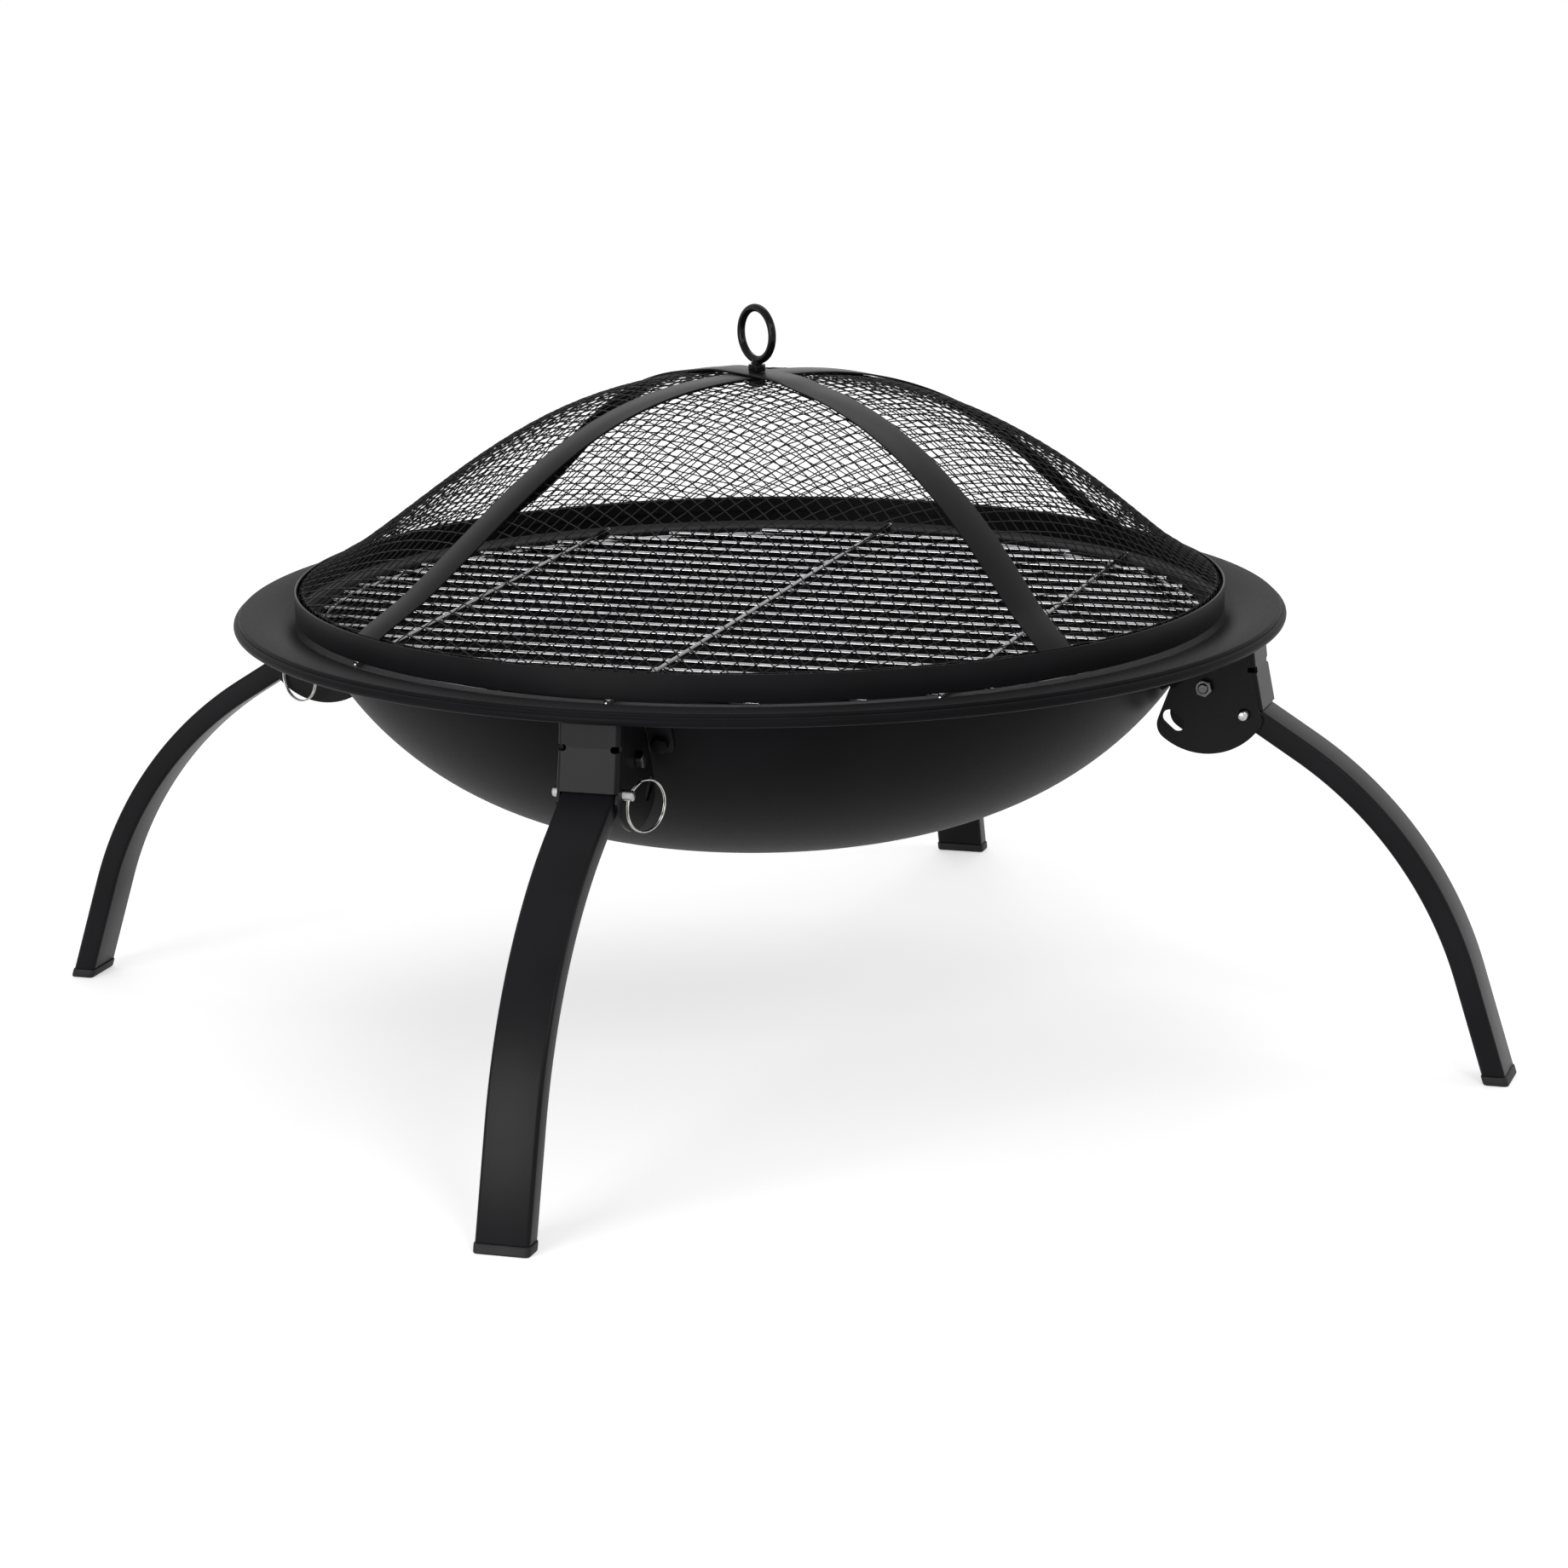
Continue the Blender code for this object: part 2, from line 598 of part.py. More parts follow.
def make_brackets():
    top, notch, low = web_points()
    bracket = plate("leg_bracket", cheek_outline(), cheek_out)
    thick = BRACKET_SHEET / math.cos(WEB_SPLAY)
    far = LEG_LOWER
    room = [(top[0] - thick, top[1] + far), (top[0] - thick, top[1]), (notch[0] - thick, notch[1]),
            (low[0] - thick, low[1]), (low[0] + far, low[1]), (low[0] + far, low[1] - far),
            (pivot_r - far, low[1] - far), (pivot_r - far, top[1] + far)]
    bracket = boolean(bracket, [plate("inside", room, cheek_in)])
    bracket = boolean(bracket, [make_tab(-1), make_tab(1)], "UNION")
    span = cheek_out * 2
    cutters = [rod("pivot_hole", (pivot_r, -span, pivot_z), (pivot_r, span, pivot_z),
                   PIVOT_BOLT_RADIUS + HOLE_CLEARANCE, HOLE_SIDES),
               rod("pin_hole", (pin_r, -span, pin_z), (pin_r, span, pin_z),
                   PIN_RADIUS + HOLE_CLEARANCE, HOLE_SIDES),
               slot_cutter(span)]
    for side in (-1, 1):
        near, outside = sorted((side * (cheek_out - NOTCH_DEPTH), side * span))
        cutters.append(block("notch", (notch[0] - thick - NOTCH_DEPTH / 2, near,
                                       notch[1] - NOTCH_HEIGHT / 2),
                             (notch[0] + thick, outside, notch[1] + NOTCH_HEIGHT / 2)))
        start, end = tab_bolt_line(side, -SHEET, 3 * BRACKET_SHEET)
        cutters.append(rod("drill", start, end, TAB_BOLT_RADIUS + HOLE_CLEARANCE,
                           SMALL_HOLE_SIDES))
    bracket = boolean(bracket, cutters)
    spread(bracket, "leg_bracket", "satin_black")


def slot_cutter(span):
    """Long hole that takes the pin when the leg is folded, set along the pin's arc."""
    along = LEG_SLOPE + FOLD
    across = Vector((math.sin(along), math.cos(along))) * SLOT_HALF_LENGTH
    turn = math.atan2(across.y, across.x)
    ends = arc((slot_r + across.x, slot_z + across.y), SLOT_RADIUS, turn - math.pi / 2,
               turn + math.pi / 2, 4)
    ends += arc((slot_r - across.x, slot_z - across.y), SLOT_RADIUS, turn + math.pi / 2,
                turn + 3 * math.pi / 2, 4)
    return plate("slot", ends, span)


def make_tab_fasteners():
    """Hexagon bolts through the tabs and the bowl, with nuts inside the bowl."""
    for side, mark in ((-1, "a"), (1, "b")):
        seat = GAP + BRACKET_SHEET + GAP
        inner_end = -SHEET - NUT_HEIGHT - 3 * GAP - BOLT_PAST_NUT
        start, end = tab_bolt_line(side, seat, seat + BOLT_HEAD)
        head = hexagon("head", start, end, HEX_FLATS)
        start, end = tab_bolt_line(side, inner_end, seat + BOLT_HEAD / 2)
        shank = rod("shank", start, end, TAB_BOLT_RADIUS, SMALL_HOLE_SIDES)
        bolt = boolean(head, [shank], "UNION")
        spread(bolt, f"bracket_bolt_{mark}", "bowl_black")
        near = SHEET + 2 * GAP
        start, end = tab_bolt_line(side, -near - NUT_HEIGHT, -near)
        nut = hexagon("nut", start, end, HEX_FLATS)
        start, end = tab_bolt_line(side, -CUT_REACH, CUT_REACH)
        hole = rod("hole", start, end, TAB_BOLT_RADIUS + GAP, SMALL_HOLE_SIDES)
        spread(boolean(nut, [hole]), f"bracket_nut_{mark}", "zinc")


def make_pivots():
    """A bolt through the cheeks and the leg, its head on the ring side, and its nut."""
    outside = cheek_out + GAP
    head = hexagon("head", (pivot_r, outside, pivot_z), (pivot_r, outside + BOLT_HEAD, pivot_z),
                   HEX_FLATS)
    tip = -outside - NUT_HEIGHT - BOLT_PAST_NUT
    shank = rod("shank", (pivot_r, tip, pivot_z), (pivot_r, outside + BOLT_HEAD / 2, pivot_z),
                PIVOT_BOLT_RADIUS, HOLE_SIDES)
    spread(boolean(head, [shank], "UNION"), "pivot_bolt", "zinc")
    nut = hexagon("nut", (pivot_r, -outside - NUT_HEIGHT, pivot_z), (pivot_r, -outside, pivot_z),
                  HEX_FLATS)
    hole = rod("hole", (pivot_r, tip - CUT_REACH, pivot_z), (pivot_r, 0.0, pivot_z),
               PIVOT_BOLT_RADIUS + GAP, HOLE_SIDES)
    spread(boolean(nut, [hole]), "pivot_nut", "zinc")


# lock pins
def ring_frame():
    """Cross hole's middle, its direction, and the way the ring hangs, on the +X leg."""
    hole = Vector((pin_r, cheek_out + PIN_CROSS_OUT, pin_z))
    flat = Vector((-math.cos(RING_HEADING), math.sin(RING_HEADING), 0.0))
    hang = flat * math.cos(RING_HANG) - Vector((0.0, 0.0, math.sin(RING_HANG)))
    through = flat * math.sin(RING_HANG) + Vector((0.0, 0.0, math.cos(RING_HANG)))
    return hole, through, hang


def make_lock_pins():
    hole, through, hang = ring_frame()
    tail = -cheek_out - PIN_TAIL
    end = cheek_out + PIN_HEAD
    profile = [(0.0, end), (PIN_RADIUS - PIN_CHAMFER, end), (PIN_RADIUS, end - PIN_CHAMFER),
               (PIN_RADIUS, tail + PIN_CHAMFER), (PIN_RADIUS - PIN_CHAMFER, tail), (0.0, tail)]
    pin = turned("lock_pin", profile, steps=HOLE_SIDES, group=guides)
    pin.rotation_euler = (-math.pi / 2, 0.0, 0.0)
    pin.location = (pin_r, 0.0, pin_z)
    pin = set_mesh(pin)
    reach = 3 * PIN_RADIUS
    cross = rod("cross", hole - through * reach, hole + through * reach, PIN_CROSS_HOLE,
                SMALL_HOLE_SIDES)
    spread(boolean(pin, [cross]), "lock_pin", "zinc", (pin_r, 0.0, pin_z))
    centre = hole + hang * PULL_RING_RADIUS
    ring = torus("pull_ring", centre, through.cross(hang), PULL_RING_RADIUS, PULL_RING_WIRE,
                 RING_STEPS, ROD_SIDES)
    spread(ring, "pull_ring", "nickel", hole)


# grate
def make_grate():
    hoop = torus("cooking_grate", (0.0, 0.0, hoop_z), (0.0, 0.0, 1.0), grate_r,
                 GRATE_HOOP_ROD, TURN_STEPS, ROD_SIDES, parts)
    rods = []
    for i in range(ROD_COUNT):
        y = (i - (ROD_COUNT - 1) / 2) * rod_pitch
        half = math.sqrt(grate_r ** 2 - y ** 2) + ROD_OVERHANG
        rods.append(rod("rod", (-half, y, rod_z), (half, y, rod_z), ROD_RADIUS, ROD_SIDES))
    reach = MOUTH_RADIUS + CROSS_REACH
    for i in range(CROSS_COUNT):
        x = (i - (CROSS_COUNT - 1) / 2) * cross_pitch
        half = math.sqrt(reach ** 2 - x ** 2)
        rods.append(rod("cross", (x, -half, cross_z), (x, half, cross_z), ROD_RADIUS, ROD_SIDES))
    dress(boolean(hoop, rods, "UNION"), "chrome")


# screen
def dome_points(offset, pieces, inner=0.0):
    """Profile of the dome, offset square to the mesh, from the band's top to radius inner."""
    slope = DOME_SLOPE
    cap_radius = ((mesh_r * math.tan(slope) - DOME_RISE)
                  / (math.sin(slope) * math.tan(slope) - (1.0 - math.cos(slope))))
    apex = band_top + DOME_RISE
    centre = apex - cap_radius
    tangent = cap_radius * math.sin(slope)
    flank = mesh_r - tangent
    length = flank / math.cos(slope) + cap_radius * slope
    inner_angle = math.asin(inner / cap_radius)
    length -= cap_radius * inner_angle
    points = []
    for i in range(pieces + 1):
        s = length * i / pieces
        flank_length = flank / math.cos(slope)
        if s < flank_length:
            angle = slope
            r = mesh_r - s * math.cos(slope)
            z = band_top + s * math.sin(slope)
        else:
            angle = slope - (s - flank_length) / cap_radius
            r = cap_radius * math.sin(angle)
            z = centre + cap_radius * math.cos(angle)
        points.append((r + offset * math.sin(angle), z + offset * math.cos(angle)))
    return points


def face_strap(obj):
    """Turn a round piece so that the middle of a flat faces each strap's foot."""
    obj.data.transform(Matrix.Rotation(STRAP_HEADING + half_flat, 4, "Z"))
    return obj


def make_band():
    outer = [(band_r, band_top), (band_r, band_low),
             (band_r - BAND_SHEET, band_low), (band_r - BAND_SHEET, band_top)]
    low = band_top - MESH_SKIRT - 2 * GAP
    inner = [(inner_hoop_r, band_top), (inner_hoop_r, low),
             (inner_hoop_r - BAND_SHEET, low), (inner_hoop_r - BAND_SHEET, band_top)]
    for name, section in (("screen_band_outer", outer), ("screen_band_inner", inner)):
        dress(face_strap(set_mesh(turned(name, section, closed=True))), "satin_black")


def make_mesh():
    """Diamond mesh: rings of points staggered by half a step, joined along both diagonals."""
    rings = [(mesh_r, band_top - MESH_SKIRT)] + dome_points(0.0, MESH_ROWS, MESH_EYE)
    bm = bmesh.new()
    step = math.tau / mesh_round

    def ring_of_points(r, z, shift):
        turns = [(j + shift) * step for j in range(mesh_round)]
        return [bm.verts.new((r * math.cos(turn), r * math.sin(turn), z)) for turn in turns]

    hem = ring_of_points(*rings[0], 0.5)
    grid = [ring_of_points(r, z, 0.5 * (k % 2)) for k, (r, z) in enumerate(rings)]
    last = len(grid) - 1
    for j in range(mesh_round):
        after = (j + 1) % mesh_round
        bm.faces.new((grid[0][j], hem[j], grid[1][j]))
        bm.faces.new((hem[j], grid[0][after], grid[1][j]))
        for k in range(last - 1):
            left, right = (j - 1, j) if k % 2 == 0 else (j, after)
            bm.faces.new((grid[k][j], grid[k + 1][right], grid[k + 2][j], grid[k + 1][left]))
        right = after if last % 2 else j
        bm.faces.new((grid[last - 1][right], grid[last][after], grid[last][j]))
    bmesh.ops.recalc_face_normals(bm, faces=bm.faces)
    mesh = bpy.data.meshes.new("screen_mesh")
    bm.to_mesh(mesh)
    bm.free()
    obj = add_object("screen_mesh", mesh)
    wire = obj.modifiers.new("Wire", "WIREFRAME")
    wire.thickness = MESH_WIRE
    wire.offset = 0.0
    wire.use_even_offset = False
    wire.use_boundary = True
    wire.use_replace = True
    dress(face_strap(set_mesh(obj)), "mesh_black")


def strap_outline(lift):
    """Side view of a strap over the dome; lift raises its middle over the other strap."""
    def side_line(offset):
        half = []
        dome = dome_points(offset, STRAP_PIECES)
        for r, z in dome:
            blend = min(1.0, max(0.0, (STRAP_RAMP - r) / (STRAP_RAMP / 2)))
            if lift and r < STRAP_WIDTH:             # level where it crosses the other strap
                z = dome[-1][1]
            half.append((r, z + lift * blend * blend * (3.0 - 2.0 * blend)))
        foot = (strap_r + offset - middle) * math.cos(half_flat)
        half[0] = (foot, band_top)
        half.insert(0, (foot, band_top - STRAP_TUCK))
        return half + [(-r, z) for r, z in reversed(half[:-1])]
    middle = MESH_WIRE / 2 + GAP + STRAP_SHEET / 2
    under = side_line(middle - STRAP_SHEET / 2)
    over = side_line(middle + STRAP_SHEET / 2)
    return under + list(reversed(over))


def make_straps():
    for name, lift, heading in (("screen_strap_lower", 0.0, STRAP_HEADING),
                                ("screen_strap_upper", STRAP_SHEET + GAP,
                                 STRAP_HEADING + math.pi / 2)):
        strap = plate(name, strap_outline(lift), STRAP_WIDTH / 2, group=parts)
        strap.data.transform(Matrix.Rotation(heading, 4, "Z"))
        hole = rod("hole", (0.0, 0.0, band_top), (0.0, 0.0, band_top + 2 * DOME_RISE),
                   STEM_RADIUS + GAP, HOLE_SIDES)
        dress(boolean(strap, [hole]), "satin_black")


def make_lifting_eye():
    mesh_top = band_top + DOME_RISE
    strap_top = mesh_top + MESH_WIRE / 2 + 2 * (GAP + STRAP_SHEET)
    collar_low = strap_top + GAP
    collar_high = collar_low + COLLAR_HEIGHT
    eye_z = collar_high + EYE_RADIUS + EYE_WIRE + GAP
    nut_high = mesh_top - MESH_WIRE / 2 - GAP
    nut_low = nut_high - COLLAR_HEIGHT
    heading = STRAP_HEADING + math.pi / 2
    normal = (-math.sin(heading), math.cos(heading), 0.0)
    eye = torus("lifting_eye", (0.0, 0.0, eye_z), normal, EYE_RADIUS, EYE_WIRE, RING_STEPS,
                EYE_SIDES, parts)
    stem = rod("stem", (0.0, 0.0, nut_low - STEM_PAST_NUT), (0.0, 0.0, eye_z - EYE_RADIUS),
               STEM_RADIUS, HOLE_SIDES)
    dress(boolean(eye, [stem], "UNION"), "gloss_black")
    for name, low, high, flats in (("eye_collar", collar_low, collar_high, COLLAR_FLATS),
                                   ("eye_nut", nut_low, nut_high, UNDER_NUT_FLATS)):
        nut = hexagon(name, (0.0, 0.0, low), (0.0, 0.0, high), flats, parts)
        hole = rod("hole", (0.0, 0.0, low - CUT_REACH), (0.0, 0.0, high + CUT_REACH),
                   STEM_RADIUS + GAP, HOLE_SIDES)
        dress(boolean(nut, [hole]), "gloss_black")


clear_scene()
parts = collection("Fire bowl")
guides = collection("Cutters")
materials = {name: make_material(name) for name in COLOURS}
make_bowl()
make_brackets()
make_tab_fasteners()
make_pivots()
make_legs()
make_foot_caps()
make_lock_pins()
make_grate()
make_band()
make_mesh()
make_straps()
make_lifting_eye()
print("parts:", len(parts.objects))
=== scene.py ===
# Folding fire bowl with its grate and spark screen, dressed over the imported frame.
# Metres, +Z up. The leg called right stands along +X, and (r, z) is a plane through the bowl's axis.
import json
import math

import bmesh
import bpy
import numpy as np
from mathutils import Matrix, Vector

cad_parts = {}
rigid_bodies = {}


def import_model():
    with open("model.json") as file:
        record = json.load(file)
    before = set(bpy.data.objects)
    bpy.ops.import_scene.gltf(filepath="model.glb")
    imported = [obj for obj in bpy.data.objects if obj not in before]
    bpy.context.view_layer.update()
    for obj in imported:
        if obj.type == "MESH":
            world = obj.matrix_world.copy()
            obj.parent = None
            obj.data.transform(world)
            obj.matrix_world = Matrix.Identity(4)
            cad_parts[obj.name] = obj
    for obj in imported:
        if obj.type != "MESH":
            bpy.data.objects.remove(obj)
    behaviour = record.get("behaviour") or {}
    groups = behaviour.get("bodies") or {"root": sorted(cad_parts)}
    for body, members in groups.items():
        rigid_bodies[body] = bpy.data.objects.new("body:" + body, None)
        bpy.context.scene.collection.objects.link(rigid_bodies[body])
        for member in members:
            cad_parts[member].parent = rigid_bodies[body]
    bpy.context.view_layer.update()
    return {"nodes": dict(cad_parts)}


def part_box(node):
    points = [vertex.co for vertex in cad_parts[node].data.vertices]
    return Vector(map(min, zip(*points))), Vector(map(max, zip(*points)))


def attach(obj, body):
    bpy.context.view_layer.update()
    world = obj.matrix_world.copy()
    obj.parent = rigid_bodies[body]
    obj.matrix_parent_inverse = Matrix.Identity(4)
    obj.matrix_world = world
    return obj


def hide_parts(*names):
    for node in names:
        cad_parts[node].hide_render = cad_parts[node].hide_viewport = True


scene = bpy.context.scene
scene.view_settings.view_transform = "Standard"
for old in list(bpy.data.objects):
    bpy.data.objects.remove(old, do_unlink=True)

# camera
cameraSpec = {
    "place": (0.8089, -2.4998, 0.7589),
    "ahead": (-0.2954, 0.9270, -0.2312),
    "roll": -0.6789,  # degrees
    "lens": 114.35,  # mm
    "sensor": 36.0,  # mm
}


def makeCamera():
    ahead = Vector(cameraSpec["ahead"]).normalized()
    level = ahead.cross(Vector((0.0, 0.0, 1.0))).normalized()
    upright = level.cross(ahead)
    roll = math.radians(cameraSpec["roll"])
    right = level * math.cos(roll) + upright * math.sin(roll)
    up = upright * math.cos(roll) - level * math.sin(roll)
    data = bpy.data.cameras.new("camera")
    data.lens = cameraSpec["lens"]
    data.sensor_width = cameraSpec["sensor"]
    data.clip_start = 0.05
    camera = bpy.data.objects.new("camera", data)
    scene.collection.objects.link(camera)
    turn = Matrix((right, up, -ahead)).transposed().to_4x4()
    camera.matrix_world = Matrix.Translation(Vector(cameraSpec["place"])) @ turn
    scene.camera = camera


makeCamera()
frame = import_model()
print("frame loaded:", len(frame["nodes"]), "nodes")

# places that several pieces share
legNames = ("right", "rear", "left", "front")
gap = 0.0003  # clearance between pieces that touch
pivotLow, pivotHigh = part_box("pivot_bolt_right")
pivotR = (pivotLow.x + pivotHigh.x) / 2
pivotZ = (pivotLow.z + pivotHigh.z) / 2
mouthR = pivotR - 0.0106  # bowl's mouth
mouthZ = pivotZ + 0.0247
ledgeR = mouthR + 0.0112  # outer end of the flat ledge
ledgeZ = mouthZ + 0.0016
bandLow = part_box("screen_band_outer")[0].z
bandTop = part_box("screen_band_outer")[1].z
legSlope = math.radians(32.5)  # the top of the leg points this far below level
pinArm = 0.0250  # pin and stow slot from the pivot
fold = math.radians(99.0)
cheekIn = 0.0144  # faces of a cheek from the leg's plane
cheekOut = 0.0160
pivotHole = 0.0029  # radii of the holes in leg and bracket
pinHole = 0.0031
strapHeading = math.radians(54.3)
doubled = 0.000001  # points this close are one point


# mesh tools
def addMesh(name, data):  # data is (points, faces)
    mesh = bpy.data.meshes.new(name)
    mesh.from_pydata([tuple(point) for point in data[0]], [], data[1])
    obj = bpy.data.objects.new(name, mesh)
    scene.collection.objects.link(obj)
    return obj


def joined(parts):  # several (points, faces) as one
    points, faces = [], []
    for more, theirs in parts:
        start = len(points)
        points.extend(more)
        faces.extend(tuple(start + i for i in face) for face in theirs)
    return points, faces


def turnOut(obj, weld=0.0):  # faces outwards, with doubled points welded
    bm = bmesh.new()
    bm.from_mesh(obj.data)
    if weld:
        bmesh.ops.remove_doubles(bm, verts=bm.verts, dist=weld)
    bmesh.ops.recalc_face_normals(bm, faces=bm.faces)
    bm.to_mesh(obj.data)
    bm.free()
    return obj


def applied(obj):  # modifiers made real
    bpy.context.view_layer.update()
    graph = bpy.context.evaluated_depsgraph_get()
    mesh = bpy.data.meshes.new_from_object(obj.evaluated_get(graph))
    obj.modifiers.clear()
    obj.data = mesh
    return obj


def combine(obj, others, operation="DIFFERENCE"):
    for other in others:
        step = obj.modifiers.new("cut", "BOOLEAN")
        step.operation = operation
        step.solver = "EXACT"
        step.object = other
    applied(obj)
    for other in others:
        bpy.data.objects.remove(other, do_unlink=True)
    return obj


def softEdges(obj, width, angle):
    step = obj.modifiers.new("edges", "BEVEL")
    step.width = width
    step.segments = 2
    step.limit_method = "ANGLE"
    step.angle_limit = math.radians(angle)
    return applied(obj)


def shade(obj, angle, weighed=False):  # weighed keeps wide flat faces even beside bends
    obj.data.shade_smooth()
    obj.data.set_sharp_from_angle(angle=math.radians(angle))
    if weighed:
        step = obj.modifiers.new("normals", "WEIGHTED_NORMAL")
        step.keep_sharp = True
        applied(obj)
    return obj


def skin(rings, loop=False, ends=True):  # faces from ring to ring, the ends closed or open
    count, last = len(rings[0]), len(rings)
    points = [point for ring in rings for point in ring]
    faces = []
    for i in range(last if loop else last - 1):
        j = (i + 1) % last
        for k in range(count):
            n = (k + 1) % count
            faces.append((i * count + k, i * count + n, j * count + n, j * count + k))
    if ends and not loop:
        faces.append(tuple(reversed(range(count))))
        faces.append(tuple((last - 1) * count + k for k in range(count)))
    return points, faces


def sweep(stations, section, loop=False):  # stations are (origin, across, up)
    rings = [[origin + across * a + up * b for a, b in section] for origin, across, up in stations]
    return skin(rings, loop)


def alongPath(path, side, loop=False):  # stations of a path, with one steady side
    stations = []
    last = len(path) - 1
    for i, point in enumerate(path):
        before = path[i - 1] if i or loop else point
        after = path[(i + 1) % len(path)] if i < last or loop else point
        ahead = (after - before).normalized()
        across = (side - ahead * side.dot(ahead)).normalized()
        stations.append((point, across, ahead.cross(across)))
    return stations


def roundSection(radius, sides):
    return [(radius * math.cos(math.tau * k / sides), radius * math.sin(math.tau * k / sides))
            for k in range(sides)]


def boxSection(halfWidth, halfHeight, corner, steps):
    points = []
    for quarter, (sx, sy) in enumerate(((1, 1), (-1, 1), (-1, -1), (1, -1))):
        for k in range(steps + 1):
            angle = (quarter + k / steps) * math.pi / 2
            points.append((sx * (halfWidth - corner) + corner * math.cos(angle),
                           sy * (halfHeight - corner) + corner * math.sin(angle)))
    return points


def rodData(start, end, radius, sides, roundEnd=0.0):
    start, end = Vector(start), Vector(end)
    ahead = (end - start).normalized()
    side = ahead.orthogonal().normalized()
    up = ahead.cross(side)
    stations = []
    turns = (0.15, 0.5, 0.8, 1.0) if roundEnd else (1.0,)
    for origin, way, shares in ((start, ahead, turns), (end, -ahead, turns[::-1])):
        for share in shares:  # the rod's radius grows over its rounded end
            back = roundEnd * (1.0 - math.sin(math.acos(1.0 - share)))
            stations.append((origin + way * back, side * share, up * share))
    return sweep(stations, roundSection(radius, sides))


def lathe(profile, steps, closed=False):  # (r, z) points turned round +Z
    count = len(profile)
    points = []
    for i in range(steps):
        turn = math.tau * i / steps
        points += [Vector((r * math.cos(turn), r * math.sin(turn), z)) for r, z in profile]
    faces = []
    for i in range(steps):
        j = (i + 1) % steps
        for k in range(count if closed else count - 1):
            n = (k + 1) % count
            faces.append((i * count + k, j * count + k, j * count + n, i * count + n))
    return points, faces


def prism(outline, half):  # an (r, z) outline, half to each side of the +X leg's plane
    count = len(outline)
    points = [Vector((r, side * half, z)) for side in (-1, 1) for r, z in outline]
    faces = [tuple(range(count)), tuple(reversed(range(count, 2 * count)))]
    for k in range(count):
        n = (k + 1) % count
        faces.append((k, k + count, n + count, n))
    return points, faces


def moved(data, matrix):
    return [matrix @ point for point in data[0]], data[1]


def facing(origin, ahead):  # carries +Z onto a direction
    turn = Vector(ahead).to_track_quat("Z", "Y").to_matrix().to_4x4()
    return Matrix.Translation(Vector(origin)) @ turn


def cutter(data):
    return turnOut(addMesh("cutter", data))


def arc(centre, radius, start, end, pieces):  # (r, z) points, angles from +r towards +z
    step = (end - start) / pieces
    return [(centre[0] + radius * math.cos(start + i * step),
             centre[1] + radius * math.sin(start + i * step)) for i in range(pieces + 1)]


# finishes
def addNode(tree, kind, values=()):  # values are (socket, value)
    made = tree.nodes.new(kind)
    for name, value in values:
        made.inputs[name].default_value = value
    return made


def connect(tree, *rows):  # (node, its output, node, its input)
    for source, output, target, socket in rows:
        tree.links.new(source.outputs[output], target.inputs[socket])


def paintNodes(material, spec):  # mottled colour, uneven gloss and a fine grain
    material.use_nodes = True
    tree = material.node_tree
    shader = tree.nodes["Principled BSDF"]
    place = addNode(tree, "ShaderNodeTexCoord")
    cloud = addNode(tree, "ShaderNodeTexNoise", (("Scale", spec["cloud"]), ("Detail", 4.0)))
    tint = addNode(tree, "ShaderNodeValToRGB")
    for stop, position, name in zip(tint.color_ramp.elements, (0.3, 0.7), ("dark", "light")):
        stop.position = position
        stop.color = (*spec[name], 1.0)
    low, high = spec["rough"]
    gloss = addNode(tree, "ShaderNodeMapRange", (("To Min", low), ("To Max", high)))
    grain = addNode(tree, "ShaderNodeTexNoise", (("Scale", spec["grain"]), ("Detail", 2.0)))
    bump = addNode(tree, "ShaderNodeBump", (("Distance", spec["depth"]), ("Strength", spec["bump"])))
    connect(tree, (place, "Object", cloud, "Vector"), (place, "Object", grain, "Vector"),
            (cloud, "Fac", tint, "Fac"), (tint, "Color", shader, "Base Color"),
            (grain, "Fac", gloss, "Value"), (gloss, "Result", shader, "Roughness"),
            (grain, "Fac", bump, "Height"), (bump, "Normal", shader, "Normal"))
    shader.inputs["Metallic"].default_value = spec["metal"]
    shader.inputs["Specular IOR Level"].default_value = spec["shine"]


